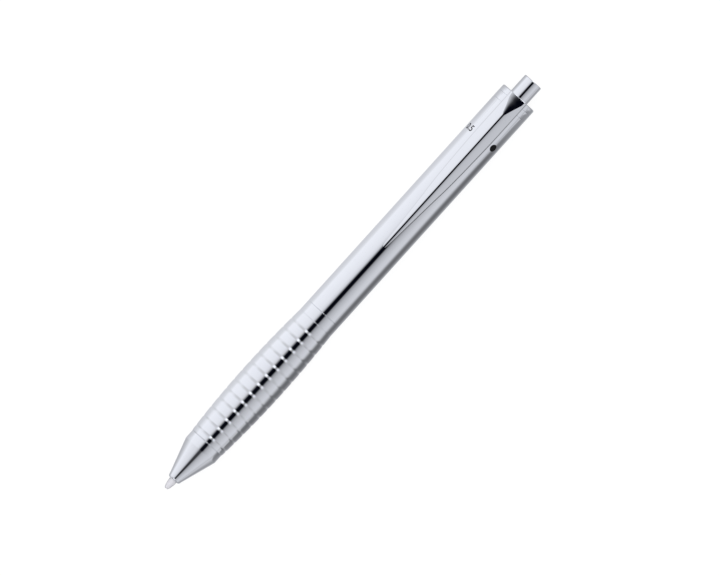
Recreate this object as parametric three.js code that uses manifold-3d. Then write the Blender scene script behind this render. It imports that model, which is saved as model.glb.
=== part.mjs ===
// A four-function pen: black ballpoint, red ballpoint, stylus and 0.5 mm pencil in one metal body.
// A pendulum behind the button hangs by its own weight and picks the slider that the button pushes.
// Millimetres, +Z up. The pen lies along X, point towards -X, clip on top, widest land on Z = 0.
import * as THREE from 'three';
import { mergeVertices } from 'three/addons/utils/BufferGeometryUtils.js';
import Module from 'manifold-3d';

const wasm = await Module();
wasm.setup();

// Lengths of the outer pieces, from the point to the button
const tipReach = 2.88;
const nozzleLength = 12.83;
const gripLength = 41.21;
const bandLength = 3.11;
const barrelLength = 70.53;
const clipRingLength = 2.12;
const crownLength = 1.68;
const buttonReach = 5.48;

// Clearances: a running fit, a sliding fit, a seat between faces, and how far a cut overruns its piece
const runningGap = 0.1;
const slideGap = 0.2;
const seatGap = 0.3;
const overrun = 1;

// Outer radii: the grip swells over the barrel's radius, and the front steps in from it
const barrelRadius = 5.2;
const gripSwell = 0.68;
const gripFrontStep = 0.17;
const nozzleStep = 0.28;
const buttonRadius = 2.65;
const gripCrownRadius = barrelRadius + gripSwell;
const gripFrontRadius = barrelRadius - gripFrontStep;
const nozzleRearRadius = barrelRadius - nozzleStep;

// Radii of the stylus tip and of the mouth round it
const stylusTipRadius = 0.86;
const mouthGap = 0.44;
const mouthWall = 0.23;
const mouthBore = stylusTipRadius + mouthGap;
const mouthRadius = mouthBore + mouthWall;

// Walls and bores of the body
const barrelWall = 0.6;
const gripBoreStep = 0.2;
const nozzleSpigotWall = 0.3;
const barrelBore = barrelRadius - barrelWall;
const gripBore = barrelBore - gripBoreStep;
const nozzleSpigotRadius = gripBore - runningGap;
const nozzleBackBore = nozzleSpigotRadius - nozzleSpigotWall;
const nozzleBoreSlopeShare = 0.333;
const mouthLand = 0.3;
const mouthRounding = 0.3;
const nozzleConeLength = 10.28;
const coneCornerRounding = 0.25;
const nozzleSpigotLength = 6;
const edgeBreak = 0.22;

// Grooves of the grip
const grooveCount = 13;
const groovePitch = 3.042;
const firstGrooveInset = 1.55;
const grooveWidth = 0.86;
const grooveFloorWidth = 0.3;
const grooveDepth = 0.32;
const groovesBeforeCrown = 7;

// Threaded insert that joins the grip to the barrel
const insertInGrip = 12;
const insertInBarrel = 7.4;
const insertWall = 0.45;

// Clip
const clipLength = 51.27;
const clipInset = 0.14;
const clipHalfWidth = 2.55;
const clipThickness = 0.8;
const clipPocket = 1.3;
const clipHipLength = 6.1;
const clipHipHalfWidth = 2.05;
const clipBallRadius = 0.6;
const clipBallDistance = 4.6;
const clipFootHalfWidth = 1.5;
const clipSlotDepth = 0.3;
// rise of the roof over its half width
const clipRoofShare = 0.42;
// [place from the tip to the root, half width] as shares of the length and of the full half width
const clipOutlineShares = [
  [0, 0.05], [0.004, 0.15], [0.018, 0.22], [0.139, 0.404], [0.313, 0.635],
  [0.432, 0.804], [0.569, 0.91], [0.786, 1], [1, 1],
];
// [place from the tip to the root, gap over the barrel] as shares of the length and of the pocket
const clipPocketShares = [[0, 0.8], [0.09, 0.42], [0.25, 0.68], [0.5, 0.92], [1, 1]];

// Refills: a tube and a point that swing on their sliders, so that the one in use meets the pen's axis
const refillRadius = 1.175;
const refillBore = 0.85;
const pointLength = 5;
const pointSeatGap = 0.35;
const noseLength = 6;
const channelRadius = 2.6;
const travel = 5.4;
const noseBore = 0.47;
const stemRadius = 0.25;
const stemLength = 0.8;
const leadRadius = 0.25;
const leadBore = 0.36;
const leadLength = 4;
// [distance from the tip, radius] of each kind of point, as shares of its length and of its back radius
const pointBackRadius = 0.62;
const ballPointShares = [[0, 0.32], [0.03, 0.53], [0.5, 0.77], [1, 1]];
const pencilNoseShares = [[0, 0.68], [0.5, 0.74], [0.52, 0.87], [1, 1]];
const stylusTipShares = [
  [0, 0.25], [0.02, 0.46], [0.076, 0.64], [0.276, 0.81], [0.376, 0.87], [0.576, 0.96], [1, 1],
];
// distance of a drawn-in tip from the pen's axis, as a share of the channels' radius
const ballTipShare = 0.519;
const stylusTipShare = 0.4885;
const restingTipShare = 0.546;

// Sliders and the guide that they run in
const sliderPinRadius = 0.55;
const sliderPinLength = 3;
const sliderNeckRadius = 0.75;
const sliderBlockLength = 6.8;
const sliderFloor = 1.4;
const sliderHeadroom = 0.25;
const nibHalfWidth = 0.6;
const nibLength = 2;
const nibInset = 0.15;
const guidePlateGap = 1.3;
const guidePlateThickness = 1.5;
const guideWall = 0.5;
const guideCapThickness = 2;
const landLength = 2.2;
const landHeight = 0.5;
const guideRadius = barrelBore - runningGap;
const guideBore = guideRadius - guideWall;
const sliderTop = guideBore - sliderHeadroom;
const sliderHalfWidth = sliderFloor - seatGap;

// Pendulum and plunger
const footLength = 6.1;
const footHalfWidth = 1;
const footFloor = 1.45;
const pendulumPlate = 1.2;
const pendulumLength = 10.3;
const pendulumRoom = 1.3;
const axleGap = 0.15;
const plungerPinRadius = 0.8;
const plungerPinReach = 0.9;
const plungerRadius = 1.5;
const plungerTopPinRadius = 1.1;
const plungerTopPinLength = 6;
const retainerThickness = 0.5;
const retainerBore = plungerPinRadius + runningGap / 2;
const retainerRadius = footFloor - slideGap;
const pendulumBore = plungerPinRadius + axleGap;

// Push button and crown
const flangeThickness = 1.5;
const crownSpigotWall = 0.8;
const buttonEdgeBreak = 0.25;
const shoulderDepth = 6.64;
const crownSpigotRadius = barrelBore - runningGap;
const crownSpigotBore = crownSpigotRadius - crownSpigotWall;
const flangeRadius = crownSpigotBore - seatGap;

// Springs
const sliderSpringRadius = 1.1;
const sliderSpringWire = 0.15;
const sliderSpringCurls = 7;
const buttonSpringRadius = 2.5;
const buttonSpringWire = 0.25;
const buttonSpringCurls = 6;
// stretch of each spring, as a share of the barrel's length that no other piece fills
const sliderSpringShare = 0.4287;
const buttonSpringShare = 0.4277;
const stepsPerCurl = 8;
const wireSides = 5;

// Facets round each kind of piece
const bodySides = 36;
const innerSides = 24;
const rodSides = 12;
const ballSides = 8;

// Channels round the pen's axis, in degrees from the clip, and which one holds its point out at rest
const channels = [
  { name: 'black', turn: 45, tipShare: ballTipShare, out: false },
  { name: 'red', turn: 135, tipShare: restingTipShare, out: false },
  { name: 'stylus', turn: 225, tipShare: stylusTipShare, out: true },
  { name: 'pencil', turn: 315, tipShare: restingTipShare, out: false },
];
const selected = 'black';

// Stations along the pen
const overall = tipReach + nozzleLength + gripLength + bandLength + barrelLength
  + clipRingLength + crownLength + buttonReach;
const mouthX = tipReach - overall / 2;
const gripX = mouthX + nozzleLength;
const bandX = gripX + gripLength;
const barrelX = bandX + bandLength;
const ringX = barrelX + barrelLength;
const crownX = ringX + clipRingLength;
const endX = crownX + crownLength;
const buttonX = endX + buttonReach;
const crownLandX = gripX + firstGrooveInset + (groovesBeforeCrown - 0.5) * groovePitch;
const clipRootX = endX - clipInset;
const clipTipX = clipRootX - clipLength;

// Length of the barrel that the threaded insert and the solid pieces leave to the springs
const filledLength = insertInBarrel + landLength + guidePlateThickness + sliderBlockLength + seatGap
  + footLength + pendulumLength + pendulumRoom + guideCapThickness
  + flangeThickness + seatGap + shoulderDepth;
const freeLength = endX - barrelX - filledLength;

// From the crown down to the guide's plate: each piece stands on the one before it
const shoulderX = endX - shoulderDepth;
const flangeTopX = shoulderX - seatGap;
const flangeX = flangeTopX - flangeThickness;
const capTopX = flangeX - freeLength * buttonSpringShare;
const guideTopX = capTopX - guideCapThickness;
const pendulumTopX = guideTopX - pendulumRoom;
const pendulumX = pendulumTopX - pendulumLength;
const footX = pendulumX - footLength;
const blockTopX = footX - seatGap;
const blockX = blockTopX - sliderBlockLength;
const plateTopX = blockX - freeLength * sliderSpringShare;
const guideX = plateTopX - guidePlateThickness;

// Sockets of the refills at rest and in use, and the tube that reaches from there to the point in use
const socketInX = guideX - guidePlateGap;
const socketOutX = socketInX - travel;
const pointBackX = mouthX - tipReach + pointLength;
const tubeLength = Math.hypot(socketOutX - pointBackX, channelRadius);
const tubeLean = Math.asin(channelRadius / tubeLength);

const finishes = {
  chrome: new THREE.MeshStandardMaterial({ color: 0xd9dbde, metalness: 1, roughness: 0.06 }),
  steel: new THREE.MeshStandardMaterial({ color: 0xb9bcc0, metalness: 1, roughness: 0.3 }),
  spring: new THREE.MeshStandardMaterial({ color: 0x9fa3a8, metalness: 1, roughness: 0.25 }),
  brass: new THREE.MeshStandardMaterial({ color: 0xc9a45c, metalness: 1, roughness: 0.3 }),
  blackPlastic: new THREE.MeshStandardMaterial({ color: 0x1d1e20, metalness: 0, roughness: 0.5 }),
  redPlastic: new THREE.MeshStandardMaterial({ color: 0xb3262b, metalness: 0, roughness: 0.5 }),
  greyPlastic: new THREE.MeshStandardMaterial({ color: 0x8b8e92, metalness: 0, roughness: 0.5 }),
  greenPlastic: new THREE.MeshStandardMaterial({ color: 0x3f7a56, metalness: 0, roughness: 0.5 }),
  paleTip: new THREE.MeshStandardMaterial({ color: 0xe4e6e4, metalness: 0, roughness: 0.35 }),
  graphite: new THREE.MeshStandardMaterial({ color: 0x2c2c2e, metalness: 0.2, roughness: 0.45 }),
};

// Closes a geometry: one vertex at each place, no triangle without area.
function closed(geometry) {
  geometry.deleteAttribute('normal');
  geometry.deleteAttribute('uv');
  const joined = mergeVertices(geometry);
  const index = joined.getIndex().array;
  const kept = [];
  for (let i = 0; i < index.length; i += 3) {
    const [a, b, c] = index.slice(i, i + 3);
    if (a !== b && b !== c && c !== a) {
      kept.push(a, b, c);
    }
  }
  joined.setIndex(kept);
  return joined;
}

// Turns a profile of [x, radius] points about X. The facets lie on the true radius.
function turned(profile, sides) {
  const facing = 1 / Math.cos(Math.PI / sides);
  const points = profile.map(([x, radius]) => new THREE.Vector2(radius * facing, x));
  if (profile[0][1] > 0) {
    points.push(points[0].clone());
  }
  const geometry = new THREE.LatheGeometry(points, sides, Math.PI / sides);
  geometry.rotateZ(-Math.PI / 2);
  return closed(geometry);
}

function rod(from, to, radius, sides) {
  return turned([[from, 0], [from, radius], [to, radius], [to, 0]], sides);
}

function tube(from, to, inner, outer, sides) {
  return turned([[from, inner], [from, outer], [to, outer], [to, inner]], sides);
}

function block(fromX, toX, halfWidth, fromZ, toZ) {
  const geometry = new THREE.BoxGeometry(toX - fromX, 2 * halfWidth, toZ - fromZ);
  geometry.translate((fromX + toX) / 2, 0, (fromZ + toZ) / 2);
  return closed(geometry);
}

function solid(geometry) {
  return new wasm.Manifold(new wasm.Mesh({
    numProp: 3,
    vertProperties: new Float32Array(geometry.getAttribute('position').array),
    triVerts: new Uint32Array(geometry.getIndex().array),
  }));
}

function fromSolid(result) {
  const mesh = result.getMesh();
  const geometry = new THREE.BufferGeometry();
  geometry.setAttribute('position', new THREE.BufferAttribute(new Float32Array(mesh.vertProperties), 3));
  geometry.setIndex(new THREE.BufferAttribute(new Uint32Array(mesh.triVerts), 1));
  return geometry;
}

function joined(first, ...others) {
  return fromSolid(others.reduce((sum, other) => sum.add(solid(other)), solid(first)));
}

function cut(first, ...tools) {
  return fromSolid(tools.reduce((rest, tool) => rest.subtract(solid(tool)), solid(first)));
}

function piece(name, geometry, finish) {
  const mesh = new THREE.Mesh(geometry, finishes[finish]);
  mesh.name = name;
  return mesh;
}

// A value between the points of a table of shares.
function between(table, place) {
  const next = Math.max(1, table.findIndex(([at]) => at >= place));
  const [fromAt, fromValue] = table[next - 1];
  const [toAt, toValue] = table[next];
  return fromValue + (toValue - fromValue) * (place - fromAt) / (toAt - fromAt);
}

// A curl of wire about X.
class Helix extends THREE.Curve {
  constructor(from, to, radius, curls) {
    super();
    Object.assign(this, { from, to, radius, curls });
  }

  getPoint(t, target = new THREE.Vector3()) {
    const angle = 2 * Math.PI * this.curls * t;
    return target.set(
      this.from + (this.to - this.from) * t,
      this.radius * Math.sin(angle),
      this.radius * Math.cos(angle),
    );
  }
}

function spring(from, to, radius, wire, curls) {
  const section = new THREE.Shape();
  for (let i = 0; i < wireSides; i += 1) {
    const angle = 2 * Math.PI * i / wireSides;
    const way = i === 0 ? 'moveTo' : 'lineTo';
    section[way](wire * Math.cos(angle), wire * Math.sin(angle));
  }
  const path = new Helix(from + seatGap + wire, to - seatGap - wire, radius, curls);
  const steps = curls * stepsPerCurl;
  return closed(new THREE.ExtrudeGeometry(section, { steps, extrudePath: path, bevelEnabled: false }));
}

// Nozzle: a straight cone whose bore gathers the refills to the mouth
function nozzleGeometry() {
  const coneX = mouthX + nozzleConeLength;
  const boreSlopeLength = (nozzleBackBore - mouthBore) / nozzleBoreSlopeShare;
  const landX = mouthX + mouthLand;
  const slope = (nozzleRearRadius - mouthRadius) / nozzleConeLength;
  return turned([
    [mouthX, mouthBore],
    [mouthX, mouthRadius - mouthRounding / 2],
    [mouthX + mouthRounding / 2, mouthRadius],
    [mouthX + mouthRounding, mouthRadius + mouthRounding * slope],
    [coneX - coneCornerRounding, nozzleRearRadius - coneCornerRounding * slope],
    [coneX + coneCornerRounding, nozzleRearRadius],
    [gripX, nozzleRearRadius],
    [gripX, nozzleSpigotRadius],
    [gripX + nozzleSpigotLength, nozzleSpigotRadius],
    [gripX + nozzleSpigotLength, nozzleBackBore],
    [landX + boreSlopeLength, nozzleBackBore],
    [landX, mouthBore],
  ], bodySides);
}

// Grip: a barrel-shaped sleeve with turned grooves. It is widest on the land that the pen lies on.
function gripRadius(x) {
  const end = x < crownLandX ? gripX : bandX;
  const endRadius = x < crownLandX ? gripFrontRadius : barrelRadius;
  const way = (x - crownLandX) / (end - crownLandX);
  return gripCrownRadius - (gripCrownRadius - endRadius) * way * way;
}

function gripProfile() {
  const profile = [[gripX, gripBore], [gripX, gripRadius(gripX)]];
  for (let i = 0; i < grooveCount; i += 1) {
    const x = gripX + firstGrooveInset + i * groovePitch;
    const floor = gripRadius(x) - grooveDepth;
    profile.push([x - grooveWidth / 2, gripRadius(x - grooveWidth / 2)]);
    profile.push([x - grooveFloorWidth / 2, floor]);
    profile.push([x + grooveFloorWidth / 2, floor]);
    profile.push([x + grooveWidth / 2, gripRadius(x + grooveWidth / 2)]);
  }
  const counterboreX = bandX - insertInGrip - seatGap;
  profile.push([bandX, gripRadius(bandX)], [bandX, barrelBore]);
  profile.push([counterboreX, barrelBore], [counterboreX, gripBore]);
  return profile;
}

const axisHeight = gripRadius(crownLandX + (groovePitch - grooveWidth) / 2);

function frontPieces() {
  const insertRadius = barrelBore - runningGap;
  const insertFrom = bandX - insertInGrip;
  const insertTo = barrelX + insertInBarrel;
  const insert = tube(insertFrom, insertTo, insertRadius - insertWall, insertRadius, bodySides);
  return [
    piece('nozzle', nozzleGeometry(), 'chrome'),
    piece('grip_sleeve', turned(gripProfile(), bodySides), 'chrome'),
    piece('centre_band', tube(bandX, barrelX, barrelBore, barrelRadius, bodySides), 'chrome'),
    piece('thread_insert', insert, 'brass'),
  ];
}

// Barrel, with the inner land that the slider guide rests against
function barrelGeometry() {
  const landBore = barrelBore - landHeight;
  return turned([
    [barrelX, barrelBore],
    [barrelX, barrelRadius],
    [ringX, barrelRadius],
    [ringX, barrelBore],
    [guideX, barrelBore],
    [guideX, landBore],
    [guideX - landLength, landBore],
    [guideX - landLength, barrelBore],
  ], bodySides);
}

// Ring that carries the clip, with a slot for the clip's foot
function clipRingGeometry() {
  const ring = tube(ringX, crownX, barrelBore, barrelRadius, bodySides);
  const slotHalfWidth = clipFootHalfWidth + seatGap;
  const slotFloor = barrelRadius - clipSlotDepth;
  const slotTop = barrelRadius + overrun;
  return cut(ring, block(ringX - overrun, crownX + overrun, slotHalfWidth, slotFloor, slotTop));
}

// Crown: the end cap, whose long spigot holds the guide down and guides the button
function crownGeometry() {
  const buttonBore = buttonRadius + slideGap;
  return turned([
    [capTopX, crownSpigotBore],
    [capTopX, crownSpigotRadius],
    [crownX, crownSpigotRadius],
    [crownX, barrelRadius],
    [endX - edgeBreak, barrelRadius],
    [endX, barrelRadius - edgeBreak],
    [endX, buttonBore],
    [shoulderX, buttonBore],
    [shoulderX, crownSpigotBore],
  ], bodySides);
}

// One section of the clip: a folded sheet with a ridge, and a flat top where the hip cuts the ridge
function clipSection(x) {
  const place = (x - clipTipX) / clipLength;
  const halfWidth = clipHalfWidth * between(clipOutlineShares, place);
  const ridge = barrelRadius + clipPocket * between(clipPocketShares, place) + clipThickness;
  const hip = Math.max(0, 1 - (clipRootX - x) / clipHipLength);
  const hipHalfWidth = clipHipHalfWidth * hip;
  const top = ridge - clipRoofShare * hipHalfWidth;
  const edge = ridge - clipRoofShare * halfWidth;
  return [
    [x, -halfWidth, edge - clipThickness],
    [x, -halfWidth, edge],
    [x, -hipHalfWidth, top],
    [x, hipHalfWidth, top],
    [x, halfWidth, edge],
    [x, halfWidth, edge - clipThickness],
    [x, 0, top - clipThickness],
  ];
}

// Skins a row of like sections and closes both ends with a fan from their last point.
function lofted(sections) {
  const size = sections[0].length;
  const index = [];
  for (let s = 0; s + 1 < sections.length; s += 1) {
    for (let i = 0; i < size; i += 1) {
      const here = s * size + i;
      const next = s * size + (i + 1) % size;
      index.push(here, next + size, next, here, here + size, next + size);
    }
  }
  const lastStart = (sections.length - 1) * size;
  for (let i = 0; i + 2 < size; i += 1) {
    index.push(size - 1, i, i + 1);
    index.push(lastStart + size - 1, lastStart + i + 1, lastStart + i);
  }
  const geometry = new THREE.BufferGeometry();
  geometry.setAttribute('position', new THREE.Float32BufferAttribute(sections.flat(2), 3));
  geometry.setIndex(index);
  return closed(geometry);
}

function clipGeometry() {
  const shares = [...clipOutlineShares, ...clipPocketShares].map(([place]) => place);
  const places = shares.map((place) => clipTipX + place * clipLength).concat(clipRootX - clipHipLength);
  const stations = [...new Set(places)].sort((a, b) => a - b);
  const ball = new THREE.SphereGeometry(clipBallRadius, ballSides, ballSides);
  ball.translate(clipTipX + clipBallDistance, 0, barrelRadius + runningGap + clipBallRadius);
  const footTop = barrelRadius + clipPocket;
  const footBottom = barrelRadius - clipSlotDepth + seatGap;
  const foot = block(ringX + seatGap, crownX - seatGap, clipFootHalfWidth, footBottom, footTop);
  return joined(lofted(stations.map(clipSection)), foot, closed(ball));
}

// Guide: a plate with a hole for each slider's neck, and a shell with a slot for each slider's nib
function guideGeometry() {
  const centreHole = sliderFloor - seatGap;
  const shell = turned([
    [guideX, centreHole],
    [guideX, guideRadius],
    [guideTopX, guideRadius],
    [guideTopX, guideBore],
    [plateTopX, guideBore],
    [plateTopX, centreHole],
  ], innerSides);
  const nibMiddle = (blockX + blockTopX) / 2;
  const slotFrom = nibMiddle - nibLength / 2 - travel - seatGap;
  const slotTo = nibMiddle + nibLength / 2 + seatGap;
  const tools = channels.flatMap(({ turn }) => {
    const hole = rod(guideX - overrun, plateTopX + overrun, sliderNeckRadius + slideGap, rodSides);
    hole.translate(0, 0, channelRadius);
    const slotHalfWidth = nibHalfWidth + slideGap;
    const slot = block(slotFrom, slotTo, slotHalfWidth, guideBore - overrun, guideRadius + overrun);
    return [hole, slot].map((tool) => tool.rotateX(THREE.MathUtils.degToRad(turn)));
  });
  return cut(shell, ...tools);
}

function housingPieces() {
  const capBore = plungerRadius + slideGap;
  return [
    piece('barrel', barrelGeometry(), 'chrome'),
    piece('clip_ring', clipRingGeometry(), 'chrome'),
    piece('crown', crownGeometry(), 'chrome'),
    piece('clip', clipGeometry(), 'chrome'),
    piece('slider_guide', guideGeometry(), 'greyPlastic'),
    piece('guide_cap', tube(guideTopX, capTopX, capBore, guideRadius, innerSides), 'greyPlastic'),
  ];
}

function pushButtonGeometry() {
  const boreRadius = plungerTopPinRadius + runningGap;
  const boreTop = flangeX + plungerTopPinLength + seatGap;
  return turned([
    [boreTop, 0],
    [boreTop, boreRadius],
    [flangeX, boreRadius],
    [flangeX, flangeRadius],
    [flangeTopX, flangeRadius],
    [flangeTopX, buttonRadius],
    [buttonX - buttonEdgeBreak, buttonRadius],
    [buttonX, buttonRadius - buttonEdgeBreak],
    [buttonX, 0],
  ], innerSides);
}

// Plunger: a rod whose thin front pin is the pendulum's axle
function plungerGeometry() {
  return turned([
    [pendulumX - plungerPinReach, 0],
    [pendulumX - plungerPinReach, plungerPinRadius],
    [pendulumTopX + runningGap, plungerPinRadius],
    [pendulumTopX + runningGap, plungerRadius],
    [flangeX, plungerRadius],
    [flangeX, plungerTopPinRadius],
    [flangeX + plungerTopPinLength, plungerTopPinRadius],
    [flangeX + plungerTopPinLength, 0],
  ], innerSides);
}

// Pendulum: a half-round weight below the axle and a foot above it, joined by a plate
function pendulumGeometry() {
  const weight = rod(pendulumX, pendulumTopX, sliderTop, innerSides);
  const beyond = sliderTop + overrun;
  const upperHalf = block(pendulumX + pendulumPlate, pendulumTopX + overrun, beyond, 0, beyond);
  const bore = rod(pendulumX - overrun, pendulumTopX + overrun, pendulumBore, innerSides);
  const footTop = sliderTop - runningGap;
  const foot = block(footX, pendulumX + pendulumPlate / 2, footHalfWidth, footFloor, footTop);
  return cut(joined(weight, foot), upperHalf, bore);
}

function buttonPieces() {
  const pendulum = piece('pendulum', pendulumGeometry(), 'brass');
  const target = channels.find(({ name }) => name === selected);
  pendulum.rotation.x = THREE.MathUtils.degToRad(target.turn);
  const retainerTo = pendulumX - slideGap;
  const retainerFrom = retainerTo - retainerThickness;
  const retainer = tube(retainerFrom, retainerTo, retainerBore, retainerRadius, innerSides);
  const coil = spring(capTopX, flangeX, buttonSpringRadius, buttonSpringWire, buttonSpringCurls);
  return [
    piece('push_button', pushButtonGeometry(), 'chrome'),
    piece('plunger', plungerGeometry(), 'steel'),
    pendulum,
    piece('retaining_clip', retainer, 'steel'),
    piece('button_spring', coil, 'spring'),
  ];
}

// Slider: a pin that holds the refill, a neck through the guide's plate, and a block with a latching nib
function sliderGeometry() {
  const from = blockX - socketInX;
  const to = blockTopX - socketInX;
  const middle = (from + to) / 2;
  const stem = turned([
    [-sliderPinLength, 0],
    [-sliderPinLength, sliderPinRadius],
    [seatGap, sliderPinRadius],
    [seatGap, sliderNeckRadius],
    [middle, sliderNeckRadius],
    [middle, 0],
  ], rodSides);
  stem.translate(0, 0, channelRadius);
  const body = block(from, to, sliderHalfWidth, sliderFloor, sliderTop);
  const nibTop = guideRadius - nibInset;
  const nib = block(middle - nibLength / 2, middle + nibLength / 2, nibHalfWidth, channelRadius, nibTop);
  return joined(stem, body, nib);
}

// Refill tube, open right through, its nose tapered down to the back of its point
function tubeGeometry(noseRadius) {
  return turned([
    [pointSeatGap - tubeLength, noseBore],
    [pointSeatGap - tubeLength, noseRadius],
    [noseLength - tubeLength, refillRadius],
    [0, refillRadius],
    [0, refillBore],
    [noseLength - tubeLength, refillBore],
  ], rodSides);
}

// Points of a table of shares, from the tip back, as [x, radius]
function scaled(shares, backRadius) {
  return shares.map(([distance, radius]) => [(distance - 1) * pointLength, radius * backRadius]);
}

// Point, with the stem that swings in its tube's nose
function pointGeometry(shares, backRadius, sides) {
  return turned([
    [-pointLength, 0],
    ...scaled(shares, backRadius),
    [0, stemRadius],
    [stemLength, stemRadius],
    [stemLength, 0],
  ], sides);
}

// Pencil nose, bored for the lead
function pencilNoseGeometry() {
  return turned([
    [-pointLength, leadBore],
    ...scaled(pencilNoseShares, pointBackRadius),
    [0, leadBore],
  ], rodSides);
}

// What each refill is: the names and finishes of its tube and slider, and the pieces of its point
const refills = {
  black: {
    tubeName: 'black_tube',
    tubeFinish: 'blackPlastic',
    sliderFinish: 'blackPlastic',
    backRadius: pointBackRadius,
    points: () => [piece('black_point', pointGeometry(ballPointShares, pointBackRadius, rodSides), 'brass')],
  },
  red: {
    tubeName: 'red_tube',
    tubeFinish: 'redPlastic',
    sliderFinish: 'redPlastic',
    backRadius: pointBackRadius,
    points: () => [piece('red_point', pointGeometry(ballPointShares, pointBackRadius, rodSides), 'brass')],
  },
  stylus: {
    tubeName: 'stylus_rod',
    tubeFinish: 'steel',
    sliderFinish: 'greyPlastic',
    backRadius: stylusTipRadius,
    points: () => [
      piece('stylus_tip', pointGeometry(stylusTipShares, stylusTipRadius, innerSides), 'paleTip'),
    ],
  },
  pencil: {
    tubeName: 'pencil_tube',
    tubeFinish: 'steel',
    sliderFinish: 'greenPlastic',
    backRadius: pointBackRadius,
    points: () => [
      piece('pencil_nose', pencilNoseGeometry(), 'steel'),
      piece('pencil_lead', rod(-pointLength, leadLength - pointLength, leadRadius, rodSides), 'graphite'),
    ],
  },
};

// One channel: slider, spring, tube and point, built under the clip and turned to its place
function channelGroup({ name, turn, tipShare, out }) {
  const refill = refills[name];
  const socketX = out ? socketOutX : socketInX;
  const springEndX = out ? blockX - travel : blockX;
  const pointLean = out ? 0 : Math.asin(channelRadius * (1 - tipShare) / pointLength);
  const lean = out ? tubeLean : 0;

  const slider = piece(`${name}_slider`, sliderGeometry(), refill.sliderFinish);
  slider.position.x = socketX;
  const wound = spring(plateTopX, springEndX, sliderSpringRadius, sliderSpringWire, sliderSpringCurls);
  const coil = piece(`${name}_spring`, wound, 'spring');
  coil.position.z = channelRadius;

  const point = new THREE.Group();
  point.name = `${name}_joint`;
  point.position.x = -tubeLength;
  point.rotation.y = lean - pointLean;
  point.add(...refill.points());
  const tubeGroup = new THREE.Group();
  tubeGroup.position.set(socketX, 0, channelRadius);
  tubeGroup.rotation.y = -lean;
  tubeGroup.add(piece(refill.tubeName, tubeGeometry(refill.backRadius), refill.tubeFinish), point);

  const channel = new THREE.Group();
  channel.add(slider, coil, tubeGroup);
  channel.rotation.x = THREE.MathUtils.degToRad(turn);
  return channel;
}

const group = new THREE.Group();
group.name = 'multi_pen';
group.add(...frontPieces(), ...housingPieces(), ...buttonPieces(), ...channels.map(channelGroup));
group.position.z = axisHeight;

export default group;
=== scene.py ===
"""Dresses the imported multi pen: polished shell, grooved grip, clip, marks, points and works."""

import logging
import math
from dataclasses import dataclass, field
from enum import Enum
from typing import Any, Iterable, Mapping, Sequence

import bmesh
import bpy
from mathutils import Matrix, Vector


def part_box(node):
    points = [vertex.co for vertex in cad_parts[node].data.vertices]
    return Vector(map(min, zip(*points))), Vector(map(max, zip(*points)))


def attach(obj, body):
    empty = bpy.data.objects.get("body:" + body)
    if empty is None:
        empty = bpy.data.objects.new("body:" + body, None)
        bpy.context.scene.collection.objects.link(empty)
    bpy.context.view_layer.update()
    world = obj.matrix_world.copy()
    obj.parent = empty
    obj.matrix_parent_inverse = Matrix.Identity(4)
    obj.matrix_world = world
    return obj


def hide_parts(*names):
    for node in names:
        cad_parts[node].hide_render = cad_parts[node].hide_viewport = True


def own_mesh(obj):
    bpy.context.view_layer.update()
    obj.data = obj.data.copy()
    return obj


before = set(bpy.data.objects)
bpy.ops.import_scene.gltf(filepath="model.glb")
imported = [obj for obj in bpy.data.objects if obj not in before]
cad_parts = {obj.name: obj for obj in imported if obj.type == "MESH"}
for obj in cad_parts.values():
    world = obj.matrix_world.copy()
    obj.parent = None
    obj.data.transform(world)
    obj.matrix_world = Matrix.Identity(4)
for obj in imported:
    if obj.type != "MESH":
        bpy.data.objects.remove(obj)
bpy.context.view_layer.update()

log = logging.getLogger("multi_pen")

Object = bpy.types.Object
Socket = bpy.types.NodeSocket
Tree = bpy.types.NodeTree
# Places, each with a value
Table = tuple[tuple[float, float], ...]

MM = 0.001
SHARP_ANGLE = math.radians(32)
BODY_SIDES = 160
SMALL_SIDES = 64
ARC_STEP = math.radians(12)
WELD = 0.0005


def linear(colour: str) -> tuple[float, float, float, float]:
    """Turns an sRGB hex colour into linear light.

    Args:
        colour: Six hex digits, such as "E6E9F0".

    Returns:
        Red, green, blue and an alpha of one.
    """
    channels = [int(colour[i:i + 2], 16) / 255 for i in (0, 2, 4)]
    light = [c / 12.92 if c <= 0.04045 else ((c + 0.055) / 1.055) ** 2.4 for c in channels]
    return (light[0], light[1], light[2], 1.0)


def add_node(tree: Tree, kind: str, settings: Mapping[str, Any] | None = None,
             inputs: Mapping[Any, Any] | None = None) -> bpy.types.Node:
    """Adds a node with its settings, and fills its inputs with values or links.

    Args:
        tree: The node tree that gets the node.
        kind: The node's type name.
        settings: Properties of the node.
        inputs: Input names or numbers, each with a value or another node's output.

    Returns:
        The new node.
    """
    node = tree.nodes.new(kind)
    for name, value in (settings or {}).items():
        setattr(node, name, value)
    for name, value in (inputs or {}).items():
        if isinstance(value, Socket):
            tree.links.new(value, node.inputs[name])
        else:
            node.inputs[name].default_value = value
    return node


def set_stops(ramp: bpy.types.ColorRamp, stops: Sequence[tuple[float, tuple[float, ...]]]) -> None:
    """Gives a colour ramp its stops.

    Args:
        ramp: The ramp to fill.
        stops: Places from 0 to 1, each with a linear colour.
    """
    while len(ramp.elements) > 1:
        ramp.elements.remove(ramp.elements[-1])
    for i, (place, colour) in enumerate(stops):
        element = ramp.elements[0] if i == 0 else ramp.elements.new(place)
        element.position = place
        element.color = colour


def blank_tree(owner: bpy.types.Material | bpy.types.World) -> Tree:
    """Gives a material or a world an empty node tree.

    Args:
        owner: The new material or world.

    Returns:
        Its tree, without any node.
    """
    owner.use_nodes = True
    owner.node_tree.nodes.clear()
    return owner.node_tree


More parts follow.
